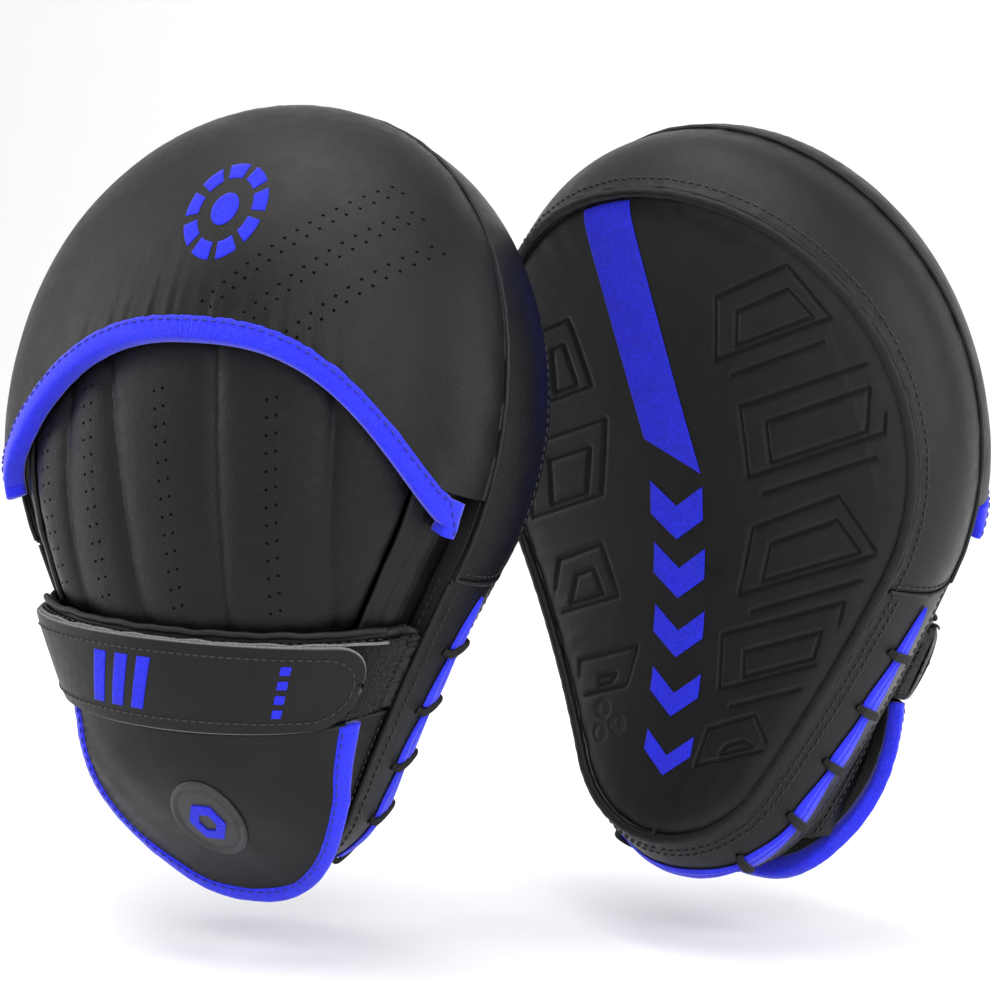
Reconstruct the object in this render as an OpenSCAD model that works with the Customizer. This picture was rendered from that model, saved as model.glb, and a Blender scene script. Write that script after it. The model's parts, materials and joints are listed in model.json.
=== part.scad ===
// A pair of curved hook-and-jab focus mitts, held upright.
// Flat pattern frame of one mitt: x across (thumb +x), y from face to back, z from wrist to fingertips.

/* [Size] */

// Length of the flat pattern of one mitt, wrist to fingertips
mitt_length = 248; // [225:1:280]

// Radius of the round striking end
head_radius = 96.5; // [86:0.5:108]

// Radius of the round wrist end
wrist_radius = 48; // [42:0.5:54]

// Thickness from the striking face to the back of the padding
pad_thick = 44; // [38:0.5:54]

// Radius the whole mitt is bent to
bend_radius = 264; // [220:1:420]

// Height on the pattern where the bend is level
bend_level = 98; // [80:1:130]

/* [Pair] */

// Sideways distance between the two hand pockets
pair_spacing = 152; // [145:1:400]

// How far the left hand pocket stands in front of the right one
pair_depth = 182; // [174:1:320]

// Turn of the right mitt about the upright line
right_turn = -17; // [-30:0.5:0]

/* [Wall] */

// How far the side wall swells out
wall_swell = 4.6; // [2:0.1:7]

// Thickness of the wall leather
leather = 1.5; // [1:0.1:2]

// Clearance between neighbouring layers
ply_gap = 0.3; // [0.2:0.05:0.5]

// How far the seam between the upper and lower wall sits under the round end
seam_drop = 3; // [1:0.5:10]

/* [Face] */

// Thickness of the striking face with its bonded sponge
face_thick = 4.4; // [3.6:0.1:5.5]

// Radius of the piping round the face
piping_radius = 1.9; // [1.4:0.1:2.2]

// Thickness of the soft front foam
front_foam_thick = 14; // [10:0.5:18]

// Thickness of the shock sheet
shock_thick = 5; // [3:0.5:7]

/* [Hood] */

// How far the back of the mitt domes out over the hand
crown = 51; // [44:0.5:58]

// Dome height left at the wrist end
wrist_crown = 22; // [16:0.5:28]

// Roundness of the dome over the hand
hand_round = 0.42; // [0.36:0.01:0.5]

// Roundness of the dome over the fingertips
head_round = 0.6; // [0.5:0.01:0.7]

// Height of the ends of the hood arch
arch_low = 115; // [108:1:122]

// Height of the middle of the hood arch
arch_high = 161; // [150:1:172]

// Fullness of the arch
arch_full = 2.7; // [2:0.1:3.2]

// Thickness of the hood foam
hood_foam_thick = 5; // [3:0.5:6]

// Width of the blue binding on the hood edge
binding_wide = 6.6; // [5:0.1:8]

/* [Hand] */

// Thickness of the padding over the back of the hand
hand_pad_thick = 8; // [6:0.5:10]

// Radius of the ball the palm grips
grip_radius = 21; // [16:0.5:24]

// Height of the palm grip
grip_rise = 12; // [8:0.5:16]

/* [Cuff] */

// Height of the lower edge of the strap on the pattern
strap_low = 63; // [60:0.5:66]

// Width of the strap on the pattern
strap_wide = 22.5; // [20:0.5:24]

// Thickness of the strap
strap_thick = 2.5; // [2:0.1:3]

// Where the strap ends, as a fraction of the half width
strap_end = 0.9; // [0.8:0.01:0.93]

// Half width of the cuff flap at its top
flap_half = 56; // [50:0.5:57]

// Half width of the cuff flap near its lower end
flap_low_half = 43; // [38:0.5:46]

// How far the flap sits towards the thumb side
flap_shift = 5; // [0:0.5:5.5]

// Diameter of the round badge on the flap
badge_diameter = 27; // [20:0.5:32]

/* [Lace] */

// Width of the lace tape on the lower wall
lace_wide = 8.5; // [6:0.5:11]

// Number of loops over the lace tape on each side
lace_loops = 5; // [3:1:7]

/* [Hidden] */
head_z = mitt_length - head_radius;
wrist_z = wrist_radius;
slope = asin((head_radius - wrist_radius) / (head_z - wrist_z));
side_low = head_z - head_radius * sin(slope);
seam_height = side_low - seam_drop;
foam_front = face_thick + ply_gap;
shock_front = foam_front + front_foam_thick + ply_gap;
back_front = shock_front + shock_thick + ply_gap;
palm_thick = 2;
back_rear = pad_thick - palm_thick - ply_gap;
hood_deep = leather + ply_gap + hood_foam_thick;
pad_top = hood_deep + 0.9;
yoke_top = 4.3;
yoke_thick = 3;
band_top = yoke_top - ply_gap - 1.5;
strap_top = strap_low + strap_wide;
strap_lift = strap_thick + 1.5 * ply_gap - band_top;
strap_split = 0.2;
flap_top = strap_low - 0.6;
flap_thick = 3;
lining_thick = 1.5;
flap_edge = 5.2;
flap_corner = 0.97;
flap_power = 2.6;
seam_gap = 0.3;
hood_lift = binding_wide + 2 * ply_gap;
unit = 0.4;

// ---- numbers ----
function mix(a, b, s) = a + (b - a) * s;
function hold(s) = min(1, max(0, s));
function smooth(s) = let (c = hold(s)) c * c * (3 - 2 * c);

// ---- the whole mitt is bent about a line across it ----
function bend_angle(z) = (z - bend_level) / bend_radius * 180 / PI;
function bent(p) = let (a = bend_angle(p[2]), q = bend_radius + p[1])
    [p[0], q * cos(a) - bend_radius, bend_level + q * sin(a)];

// ---- outline of the pattern: a big circle and a small one joined by straight sides ----
function half_width(z) =
    z > head_z - head_radius * sin(slope) ? sqrt(max(0.01, pow(head_radius, 2) - pow(z - head_z, 2))) :
    z < wrist_z - wrist_radius * sin(slope) ? sqrt(max(0.01, pow(wrist_radius, 2) - pow(z - wrist_z, 2))) :
    (head_radius + (z - head_z) * sin(slope)) / cos(slope);

head_steps = 16;
side_steps = 6;
wrist_steps = 8;
function arc_point(r, z, a) = [r * cos(a), z + r * sin(a)];
function half_outline(d) = [
    for (i = [0 : head_steps]) arc_point(head_radius - d, head_z, 90 - (90 + slope) * i / head_steps),
    for (i = [1 : side_steps - 1]) let (s = i / side_steps)
        arc_point(head_radius - d, head_z, -slope) * (1 - s) + arc_point(wrist_radius - d, wrist_z, -slope) * s,
    for (i = [0 : wrist_steps]) arc_point(wrist_radius - d, wrist_z, -slope - (90 - slope) * i / wrist_steps)
];
function ring(d, y) = let (h = half_outline(d), n = len(h)) concat(
    [for (p = h) bent([p[0], y, p[1]])],
    [for (i = [n - 2 : -1 : 1]) bent([-h[i][0], y, h[i][1]])]);

// ---- solids from points ----
function flat(rows) = [for (r = rows) for (p = r) p];

// stack of closed rings with capped ends; both caps run straight across
module plate(levels) {
    rings = [for (l = levels) ring(l[0], l[1])];
    n = len(rings[0]);
    m = len(rings);
    half = n / 2;
    sides = [for (k = [0 : m - 2]) for (i = [0 : n - 1]) let (j = (i + 1) % n)
        each [[k * n + i, (k + 1) * n + i, (k + 1) * n + j], [k * n + i, (k + 1) * n + j, k * n + j]]];
    low = [for (i = [0 : half - 1]) let (a = i, b = i + 1, c = n - i - 1, d = (n - i) % n)
        each (i == 0 ? [[a, b, c]] : i == half - 1 ? [[a, b, d]] : [[a, b, c], [a, c, d]])];
    top = [for (f = low) [f[0] + (m - 1) * n, f[2] + (m - 1) * n, f[1] + (m - 1) * n]];
    polyhedron(points = flat(rings), faces = concat(sides, low, top));
}

// sheet between an outer and an inner grid of points
module sheet(outer, inner, turn = false) {
    r = len(outer);
    c = len(outer[0]);
    o = r * c;
    top = [for (i = [0 : r - 2]) for (j = [0 : c - 2]) let (a = i * c + j)
        each [[a, a + 1, a + c + 1], [a, a + c + 1, a + c]]];
    under = [for (f = top) [f[0] + o, f[2] + o, f[1] + o]];
    ends = [for (j = [0 : c - 2]) let (a = j, b = (r - 1) * c + j)
        each [[a, a + o, a + o + 1], [a, a + o + 1, a + 1], [b, b + 1, b + o + 1], [b, b + o + 1, b + o]]];
    flanks = [for (i = [0 : r - 2]) let (a = i * c, b = i * c + c - 1)
        each [[a, a + c, a + c + o], [a, a + c + o, a + o], [b, b + o, b + c + o], [b, b + c + o, b + c]]];
    all = concat(top, under, ends, flanks);
    polyhedron(points = concat(flat(outer), flat(inner)),
        faces = turn ? [for (f = all) [f[0], f[2], f[1]]] : all);
}

// closed section swept along rows of points
module sweep(rows, turn = false) {
    r = len(rows);
    c = len(rows[0]);
    skin = [for (i = [0 : r - 2]) for (j = [0 : c - 1]) let (k = (j + 1) % c, a = i * c)
        each [[a + j, a + c + j, a + c + k], [a + j, a + c + k, a + k]]];
    // each cap joins the outer half of the section to the inner half
    caps = [for (j = [0 : c / 2 - 2]) let (b = (r - 1) * c, m = c - 1 - j)
        each [[j, j + 1, m - 1], [j, m - 1, m], [b + j, b + m - 1, b + j + 1], [b + j, b + m, b + m - 1]]];
    all = concat(skin, caps);
    polyhedron(points = flat(rows), faces = turn ? [for (f = all) [f[0], f[2], f[1]]] : all);
}

// ---- dome over the hand ----
function crown_height(z) = z > 55 ? crown : mix(wrist_crown, crown, smooth(z / 55));
function rise(x, z) =
    let (q = z > head_z ? norm([x, z - head_z]) / head_radius : abs(x) / half_width(z),
        e = mix(hand_round, head_round, smooth((z - 100) / 82)))
    crown_height(z) * pow(max(0.0004, 1 - q * q), e);
function lean(x, z) =
    let (gx = (rise(x + unit, z) - rise(x - unit, z)) / (2 * unit),
        gz = (rise(x, z + unit) - rise(x, z - unit)) / (2 * unit),
        v = [-gx, 1, -gz])
    v / norm(v);
// a point on the dome, k deep; t runs across from -1 to 1 and reaches the rim at the ends
function dome(t, z, k) = abs(t) > 0.99
    ? bent([sign(t) * (half_width(z) - k), pad_thick + ply_gap, z])
    : let (x = half_width(z) * t) bent([x, pad_thick + rise(x, z), z] - lean(x, z) * k);

// ---- arch that bounds the hood ----
arch_half = half_width(arch_low);
function arch_z(x, lift) = let (low = arch_low + lift * 1.68, high = arch_high + lift)
    mix(low, high, 1 - pow(min(1, abs(x) / arch_half), arch_full));
function ray_length(a) = let (b = a < 90 ? a : 180 - a)
    b >= -slope ? head_radius : head_radius / cos(b + slope);
function on_ray(a, s) = arc_point(ray_length(a) * s, head_z, a);
function seek(a, lift, lo, hi, n) = n == 0 ? (lo + hi) / 2 :
    let (m = (lo + hi) / 2, p = on_ray(a, m))
    p[1] > arch_z(p[0], lift) ? seek(a, lift, lo, m, n - 1) : seek(a, lift, m, hi, n - 1);
function arch_share(a, lift) = seek(a, lift, 0, 1, 16);
function hood_point(a, s, k) = s > 0.99
    ? let (q = arc_point(ray_length(a) - k, head_z, a)) bent([q[0], pad_thick + ply_gap, q[1]])
    : let (q = on_ray(a, s)) bent([q[0], pad_thick + rise(q[0], q[1]), q[1]] - lean(q[0], q[1]) * k);
function arch_angle(lift) = atan2(arch_low + lift * 1.68 - head_z, arch_half);

module hood_layer(top, thick) {
    start = arch_angle(hood_lift) + 2.5;
    turns = 34;
    rows = 6;
    grid = [for (k = [top, top + thick]) [for (i = [0 : turns]) let (
            a = 90 + (90 - start) * sin(mix(-90, 90, i / turns)),
            low = min(0.972, arch_share(a, hood_lift)))
        [for (j = [0 : rows]) hood_point(a, mix(low, 1, sin(90 * j / rows)), k)]]];
    sheet(grid[0], grid[1]);
}

module hood_edge() {
    start = arch_angle(0);
    turns = 40;
    cut = [0, 0.2, 0.8, 1];
    puff = [-0.2, 0.8, 0.8, -0.1];
    grid = [for (side = [0, 1]) [for (i = [0 : turns]) let (
            a = 90 + (90 - start) * sin(mix(-90, 90, i / turns)),
            low = min(0.93, arch_share(a, 0)),
            high = min(0.955, arch_share(a, binding_wide)))
        [for (j = [0 : 3]) hood_point(a, mix(low, high, cut[j]), side == 0 ? -puff[j] : hood_deep + 0.1 * puff[j])]]];
    sheet(grid[0], grid[1]);
}

// sheet lying on the dome between two heights and two shares of the width
module dome_sheet(t0, t1, z0, z1, k0, k1, across, along, grooves = 0, groove = 0) {
    grid = [for (k = [k0, k1]) [for (i = [0 : across]) let (
            t = mix(t0, t1, i / across),
            dip = grooves > 0 && k == k0 ? groove * pow(abs(cos(180 * grooves * i / across)), 6) : 0)
        [for (j = [0 : along]) dome(t, mix(z0, z1, j / along), k + dip)]]];
    sheet(grid[0], grid[1], true);
}

// full width sheet from rim to rim, sampled finely near the rim
module rim_sheet(s0, s1, z0, z1, k0, k1, across, along) {
    grid = [for (k = [k0, k1]) [for (i = [0 : across]) let (t = sin(mix(s0, s1, i / across)))
        [for (j = [0 : along]) dome(t, mix(z0, z1, j / along), k)]]];
    sheet(grid[0], grid[1], true);
}

// ---- side wall ----
wall_front = 2 * piping_radius + 0.5;
function swell(y) = wall_swell * sin(180 * hold((y - wall_front) / (pad_thick - wall_front)));
function wall_section(path) = [
    for (s = [0 : 5]) let (y = mix(wall_front, pad_thick, s / 5)) [swell(y), y],
    for (s = [5 : -1 : 0]) let (y = mix(wall_front, pad_thick, s / 5)) [swell(y) - leather, y]
];
side_end = wrist_z - wrist_radius * sin(slope);
function on_side(z, out) = [(head_radius + (z - head_z) * sin(slope)) / cos(slope) + out * cos(slope), z - out * sin(slope)];
function upper_path(out) = concat(
    [on_side(seam_height + seam_gap, out)],
    [for (i = [0 : 2 * head_steps])
        arc_point(head_radius + out, head_z, mix(-slope, 180 + slope, i / (2 * head_steps)))],
    [let (q = on_side(seam_height + seam_gap, out)) [-q[0], q[1]]]);
function lower_path(out) = concat(
    [for (i = [0 : 4]) on_side(mix(seam_height, side_end, i / 5), out)],
    [for (i = [0 : 2 * wrist_steps])
        arc_point(wrist_radius + out, wrist_z, mix(-slope, -180 + slope, i / (2 * wrist_steps)))],
    [for (i = [4 : -1 : 0]) let (q = on_side(mix(seam_height, side_end, i / 5), out)) [-q[0], q[1]]]);
module wall(upper) {
    section = wall_section(0);
    paths = [for (c = section) upper ? upper_path(c[0]) : lower_path(c[0])];
    rows = [for (i = [0 : len(paths[0]) - 1]) [for (j = [0 : len(section) - 1])
        bent([paths[j][i][0], section[j][1], paths[j][i][1]])]];
    sweep(rows, upper);
}

// a place on the lower wall: u from 0 on the thumb side round the wrist end to 1
lace_start = seam_height - 5;
straight = (lace_start - side_end) / cos(slope);
round_part = wrist_radius * (180 - 2 * slope) * PI / 180;
lace_length = 2 * straight + round_part;
function wall_place(u, out) = let (s = u * lace_length)
    s < straight ? on_side(lace_start - s * cos(slope), out) :
    s > lace_length - straight ? let (q = on_side(lace_start - (lace_length - s) * cos(slope), out)) [-q[0], q[1]] :
    arc_point(wrist_radius + out, wrist_z, -slope - (s - straight) / wrist_radius * 180 / PI);
function wall_point(u, y, out) = let (q = wall_place(u, out + swell(y))) bent([q[0], y, q[1]]);
lace_mid = pad_thick * 0.57;

module lace_run() {
    steps = 44;
    grid = [for (k = [ply_gap + 1.2, ply_gap]) [for (i = [0 : steps])
        [for (j = [-1 : 1]) wall_point(i / steps, lace_mid + j * lace_wide / 2, k)]]];
    sheet(grid[0], grid[1], true);
}

module lace_loop(u) {
    half = 1.6 / lace_length * 2;
    reach = lace_wide / 2 + 3.4;
    high = ply_gap + 1.2 + 2 * ply_gap + 1.3;
    across = [-1, -0.86, -0.62, 0.62, 0.86, 1];
    lift = [0.9, 1.6, high, high, 1.6, 0.9];
    grid = [for (k = [0, 1]) [for (i = [-1 : 1])
        [for (j = [0 : 5]) wall_point(u + i * half, lace_mid + across[j] * reach,
            k == 0 ? lift[j] : max(ply_gap, lift[j] - 1.3))]]];
    sheet(grid[0], grid[1], true);
}

// ---- palm side ----
module at_flat(x, y, z) translate(bent([x, y, z])) rotate([bend_angle(z), 0, 0]) children();
module palm_ball() at_flat(0, pad_thick + ply_gap, arch_low - 2) rotate([-90, 0, 0])
    rotate_extrude($fn = 48) polygon(concat([[0, 0]], [for (i = [0 : 9]) [grip_radius * sin(10 * i), grip_rise * cos(10 * i)]]));

// ---- cuff flap ----
flap_span = half_width(strap_low);
flap_long = flap_top - 2;
function flap_rise(x, z) = mix(wrist_crown, crown, smooth(z / 55)) * pow(max(0.01, 1 - pow(x / flap_span, 2)), hand_round);
function flap_lean(x, z) =
    let (gx = (flap_rise(x + unit, z) - flap_rise(x - unit, z)) / (2 * unit),
        gz = (flap_rise(x, z + unit) - flap_rise(x, z - unit)) / (2 * unit), v = [-gx, 1, -gz])
    v / norm(v);
// half width and sideways place of the flap, from its top (0) to its lower end (1)
function flap_wide(s) = mix(flap_half, flap_low_half, s);
function flap_lay(s) = flap_shift * (1 + 0.6 * s);
function flap_bottom(u) = pow(1 - pow(abs(u), flap_power), 1 / flap_power);
function flap_point(u, v, inset, k) =
    let (drop = (flap_long - inset) * v * flap_bottom(u),
        z = flap_top - drop,
        x = u * (flap_wide(drop / flap_long) - inset) + flap_lay(drop / flap_long))
    bent([x, pad_thick + flap_rise(x, z), z] - flap_lean(x, z) * (k + yoke_top - 2.4));
module flap_sheet(k, thick) {
    grid = [for (d = [k, k + thick]) [for (i = [0 : 18]) let (u = flap_corner * sin(mix(-90, 90, i / 18)))
        [for (j = [0 : 7]) flap_point(u, j / 7, flap_edge + 0.2, d)]]];
    sheet(grid[0], grid[1]);
}
module flap_rim() {
    steps = 30;
    cut = [0, 1.2, flap_edge - 1.2, flap_edge - 0.3];
    puff = [0, 0.7, 0.7, 0];
    deep = flap_thick + lining_thick + ply_gap;
    grid = [for (side = [0, 1]) [for (i = [0 : steps]) let (
            u = i < 5 ? -flap_corner : i > steps - 5 ? flap_corner : flap_corner * sin(mix(-90, 90, (i - 5) / (steps - 10))),
            v = i < 5 ? mix(0.02, 1, i / 5) : i > steps - 5 ? mix(0.02, 1, (steps - i) / 5) : 1)
        [for (j = [0 : 3]) flap_point(u, v, cut[j], side == 0 ? -puff[j] : deep + puff[j] * 0.3)]]];
    sheet(grid[0], grid[1], true);
}
side_thick = 2;
side_full = 8;
side_foot_low = 15;
badge_x = 8;
badge_z = 35;
module badge_disc() {
    r = badge_diameter / 2;
    grid = [for (k = [0, 1]) [for (i = [-4 : 4]) [for (j = [-4 : 4]) let (
            a = i / 4, b = j / 4, x = badge_x + r * a * sqrt(1 - b * b / 2), z = badge_z + r * b * sqrt(1 - a * a / 2),
            edge = max(abs(a), abs(b)), deep = k == 1 ? -ply_gap : edge > 0.9 ? -1.1 : -1.9)
        bent([x, pad_thick + flap_rise(x, z), z] - flap_lean(x, z) * (deep + yoke_top - 2.4))]]];
    sheet(grid[0], grid[1], true);
}

// side of the cuff: a sheet that rises from the rim of the lower wall to just inside the flap
module cuff_side_sheet(hand) {
    foot = leather + 2 * ply_gap + 0.4;
    tuck = 9;
    deep = flap_thick + lining_thick + 4 * ply_gap + 2.2;
    function side_point(z, v, k) =
        let (x0 = half_width(z) - foot,
            s = (flap_top - z) / flap_long,
            x1 = flap_corner * flap_wide(s) + hand * flap_lay(s) - tuck,
            a = bent([x0 - k, pad_thick + ply_gap, z]),
            b = bent([x1, pad_thick + flap_rise(x1, z), z] - flap_lean(x1, z) * (deep + k)))
        mix(a, b, v) + [0.05 * side_full * 4 * v * (1 - v) * (side_thick - k), 0, 0];
    grid = [for (k = [0, side_thick]) [for (i = [0 : 9]) [for (j = [0 : 4])
        side_point(mix(side_foot_low, flap_top - 0.6, i / 9), j / 4, k)]]];
    sheet(grid[0], grid[1]);
}

// ---- strap ----
fold_share = 0.95;
module strap_part(t0, t1, rounded, across) {
    mid = (strap_low + strap_top) / 2;
    grid = [for (k = [-strap_lift, -strap_lift + strap_thick]) [for (i = [0 : across]) let (
            t = sin(mix(asin(t0), asin(t1), i / across)), s = rounded ? hold((t - t1 + 0.14) / 0.14) : 0,
            half = strap_wide / 2 * (1 - 0.45 * pow(s, 3)))
        [for (j = [0 : 4]) dome(t, mix(mid - half, mid + half, j / 4), k)]]];
    sheet(grid[0], grid[1], true);
}
// folded end of the strap, held at the rim on the little finger side
module strap_anchor() rim_sheet(-90, asin(-fold_share) - 0.8, strap_low + 0.8, strap_top - 0.8,
    -strap_lift, -strap_lift + strap_thick, 4, 3);

// ---- one mitt ----
black = [0.13, 0.13, 0.135];
soft_black = [0.18, 0.18, 0.185];
blue = [0.19, 0.25, 0.93];
grey = [0.5, 0.5, 0.52];
sponge = [0.8, 0.8, 0.76];

module face_panel() color(black) plate([[9, 0], [2 * piping_radius + 0.9, 1.1],
    [2 * piping_radius + 0.4, 2.6], [2 * piping_radius + 0.4, face_thick]]);
module face_piping() color(soft_black) {
    n = len(ring(0, 0));
    rows = [for (k = [0 : 5]) ring(piping_radius + 0.1 + piping_radius * cos(60 * k),
        piping_radius + piping_radius * sin(60 * k))];
    faces = [for (k = [0 : 5]) for (i = [0 : n - 1]) let (j = (i + 1) % n, m = (k + 1) % 6)
        each [[k * n + i, m * n + j, m * n + i], [k * n + i, k * n + j, m * n + j]]];
    polyhedron(points = flat(rows), faces = faces);
}
function foam_inset(y) = leather + 1.8 * ply_gap - 0.95 * swell(y);
module foam_block(y0, y1, steps) plate([for (i = [0 : steps]) let (y = mix(y0, y1, i / steps)) [foam_inset(y), y]]);
module front_foam() color(sponge) foam_block(foam_front, foam_front + front_foam_thick, 3);
module shock_sheet() color(grey) foam_block(shock_front, shock_front + shock_thick, 1);
module back_foam() color(sponge) foam_block(back_front, back_rear, 3);
module palm_panel() color(soft_black) plate([[leather + ply_gap, pad_thick - palm_thick], [leather + ply_gap, pad_thick]]);
module palm_grip() color(black) palm_ball();
module wall_upper() color(black) wall(true);
module wall_lower() color(black) wall(false);
module hood_skin() color(black) hood_layer(0, leather);
module hood_foam() color(sponge) hood_layer(leather + ply_gap, hood_foam_thick);
module hood_binding() color(blue) hood_edge();
module hand_pad() color(black) dome_sheet(-0.85, 0.85, strap_top + ply_gap, 200, pad_top, pad_top + hand_pad_thick,
    28, 9, 3.5, 1.2);
module gusset() rim_sheet(60.5, 90, strap_top + ply_gap, arch_low + 22, pad_top + 0.5, pad_top + 2.5, 6, 5);
module thumb_gusset() color(soft_black) gusset();
module pinky_gusset() color(soft_black) mirror([1, 0, 0]) gusset();
module cuff_yoke() color(black) rim_sheet(-90, 90, strap_low, strap_top, yoke_top, yoke_top + yoke_thick, 22, 2);
module thumb_cuff_side() color(black) cuff_side_sheet(1);
module pinky_cuff_side() color(black) mirror([1, 0, 0]) cuff_side_sheet(-1);
module cuff_flap() color(black) flap_sheet(0, flap_thick);
module flap_lining() color(soft_black) flap_sheet(flap_thick + ply_gap, lining_thick);
module flap_binding() color(blue) flap_rim();
module badge() color(black) badge_disc();
module loop_band() color(soft_black) rim_sheet(-90, 90, strap_low + 0.8, strap_top - 0.8, band_top, band_top + 1.5, 22, 2);
module strap_fold() color(black) strap_anchor();
module strap_base() color(black) strap_part(-fold_share, strap_split - 0.003, false, 16);
module strap_tip() color(black) strap_part(strap_split + 0.003, strap_end, true, 14);
module lace_tape() color(blue) lace_run();
module lace_loop_set() color(soft_black) for (side = [0, 1]) for (i = [0 : lace_loops - 1])
    let (u = (i + 0.5) / (2 * lace_loops + 2)) lace_loop(side == 0 ? u + 0.03 : 1 - u - 0.03);

// ---- places of the two mitts ----
// the origin is the middle of the right hand pocket, where the right mitt is held
pocket = bent([0, pad_thick + 20, arch_low - 2]);
module right() rotate([0, 0, right_turn]) translate(-pocket) children();
module left() translate([-pair_spacing, -pair_depth, 0]) mirror([0, 1, 0]) translate(-pocket) children();

left() face_panel();  // left_face_panel
left() face_piping();  // left_face_piping
left() front_foam();  // left_front_foam
left() shock_sheet();  // left_shock_sheet
left() back_foam();  // left_back_foam
left() palm_panel();  // left_palm_panel
left() palm_grip();  // left_palm_grip
left() wall_upper();  // left_wall_upper
left() wall_lower();  // left_wall_lower
left() hood_skin();  // left_hood_skin
left() hood_foam();  // left_hood_foam
left() hood_binding();  // left_hood_binding
left() hand_pad();  // left_hand_pad
left() thumb_gusset();  // left_thumb_gusset
left() pinky_gusset();  // left_pinky_gusset
left() cuff_yoke();  // left_cuff_yoke
left() thumb_cuff_side();  // left_thumb_cuff_side
left() pinky_cuff_side();  // left_pinky_cuff_side
left() cuff_flap();  // left_cuff_flap
left() flap_lining();  // left_flap_lining
left() flap_binding();  // left_flap_binding
left() badge();  // left_badge
left() loop_band();  // left_loop_band
left() strap_fold();  // left_strap_fold
left() strap_base();  // left_strap_base
left() strap_tip();  // left_strap_tip
left() lace_tape();  // left_lace_tape
left() lace_loop_set();  // left_lace_loops
right() face_panel();  // right_face_panel
right() face_piping();  // right_face_piping
right() front_foam();  // right_front_foam
right() shock_sheet();  // right_shock_sheet
right() back_foam();  // right_back_foam
right() palm_panel();  // right_palm_panel
right() palm_grip();  // right_palm_grip
right() wall_upper();  // right_wall_upper
right() wall_lower();  // right_wall_lower
right() hood_skin();  // right_hood_skin
right() hood_foam();  // right_hood_foam
right() hood_binding();  // right_hood_binding
right() hand_pad();  // right_hand_pad
right() thumb_gusset();  // right_thumb_gusset
right() pinky_gusset();  // right_pinky_gusset
right() cuff_yoke();  // right_cuff_yoke
right() thumb_cuff_side();  // right_thumb_cuff_side
right() pinky_cuff_side();  // right_pinky_cuff_side
right() cuff_flap();  // right_cuff_flap
right() flap_lining();  // right_flap_lining
right() flap_binding();  // right_flap_binding
right() badge();  // right_badge
right() loop_band();  // right_loop_band
right() strap_fold();  // right_strap_fold
right() strap_base();  // right_strap_base
right() strap_tip();  // right_strap_tip
right() lace_tape();  // right_lace_tape
right() lace_loop_set();  // right_lace_loops
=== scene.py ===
import json
import math
import bpy
import bmesh
import numpy as np
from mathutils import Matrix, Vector


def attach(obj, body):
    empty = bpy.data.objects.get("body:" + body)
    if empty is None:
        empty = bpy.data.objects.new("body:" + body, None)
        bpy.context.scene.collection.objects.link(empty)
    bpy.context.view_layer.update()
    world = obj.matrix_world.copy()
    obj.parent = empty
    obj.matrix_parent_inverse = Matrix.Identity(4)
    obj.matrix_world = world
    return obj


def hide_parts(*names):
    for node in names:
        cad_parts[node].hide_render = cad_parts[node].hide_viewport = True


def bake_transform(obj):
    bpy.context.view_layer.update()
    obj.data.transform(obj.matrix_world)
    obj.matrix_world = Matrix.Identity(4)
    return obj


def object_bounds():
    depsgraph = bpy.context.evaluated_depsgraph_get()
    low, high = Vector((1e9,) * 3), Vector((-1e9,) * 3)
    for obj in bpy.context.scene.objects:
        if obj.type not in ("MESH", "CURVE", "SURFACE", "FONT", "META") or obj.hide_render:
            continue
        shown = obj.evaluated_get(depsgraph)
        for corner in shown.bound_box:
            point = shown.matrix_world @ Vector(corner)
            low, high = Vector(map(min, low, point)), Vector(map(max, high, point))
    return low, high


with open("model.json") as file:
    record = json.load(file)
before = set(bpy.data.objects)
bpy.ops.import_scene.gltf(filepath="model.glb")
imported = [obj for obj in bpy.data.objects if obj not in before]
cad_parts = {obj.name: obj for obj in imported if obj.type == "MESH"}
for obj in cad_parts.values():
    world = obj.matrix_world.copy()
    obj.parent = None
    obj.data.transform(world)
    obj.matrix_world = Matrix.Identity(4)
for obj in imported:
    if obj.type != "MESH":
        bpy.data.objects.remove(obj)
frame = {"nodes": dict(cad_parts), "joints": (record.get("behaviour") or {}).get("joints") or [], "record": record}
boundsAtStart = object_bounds()
record = frame["record"]
print("frame loaded")

# One mitt is drawn flat, in millimetres, and then bent.
# The thumb is at +x, the striking face at y 0, the back at +y and the fingertips at +z.
mitt = {
    "length": 248.0, "headRadius": 96.5, "wristRadius": 48.0, "thick": 44.0,
    "bendRadius": 264.0, "bendLevel": 98.0,
    "crown": 51.0, "wristCrown": 22.0, "handRound": 0.42, "headRound": 0.6,
    "archLow": 115.0, "archHigh": 161.0, "archFull": 2.7, "bindingWide": 6.6,
    "wallSwell": 4.6, "wallFront": 4.3, "leather": 1.5,
    "strapLow": 63.0, "strapWide": 22.5,
    "crownLevel": 55.0, "roundFrom": 100.0, "roundOver": 82.0,
    "archSpread": 1.68, "sideSeam": 3.4, "rimGap": 0.3,
    "edgeShare": 0.992, "rimShare": 0.996,
}
headZ = mitt["length"] - mitt["headRadius"]
wristZ = mitt["wristRadius"]
slope = math.asin((mitt["headRadius"] - mitt["wristRadius"]) / (headZ - wristZ))
thick = mitt["thick"]
strapTop = mitt["strapLow"] + mitt["strapWide"]
headArc = mitt["headRadius"] * (math.pi / 2 + slope)
sideRun = (headZ - wristZ) * math.cos(slope)
wristArc = mitt["wristRadius"] * (math.pi / 2 - slope)
halfRound = headArc + sideRun + wristArc
seamRun = headArc + mitt["sideSeam"]
rimLevel = thick + mitt["rimGap"]


# shape of the pattern
def stepTo(s):
    s = np.clip(s, 0, 1)
    return s * s * (3 - 2 * s)


def eased(count):
    # from -1 to 1, closer together at both ends
    return np.sin(np.linspace(-math.pi / 2, math.pi / 2, count))


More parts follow.
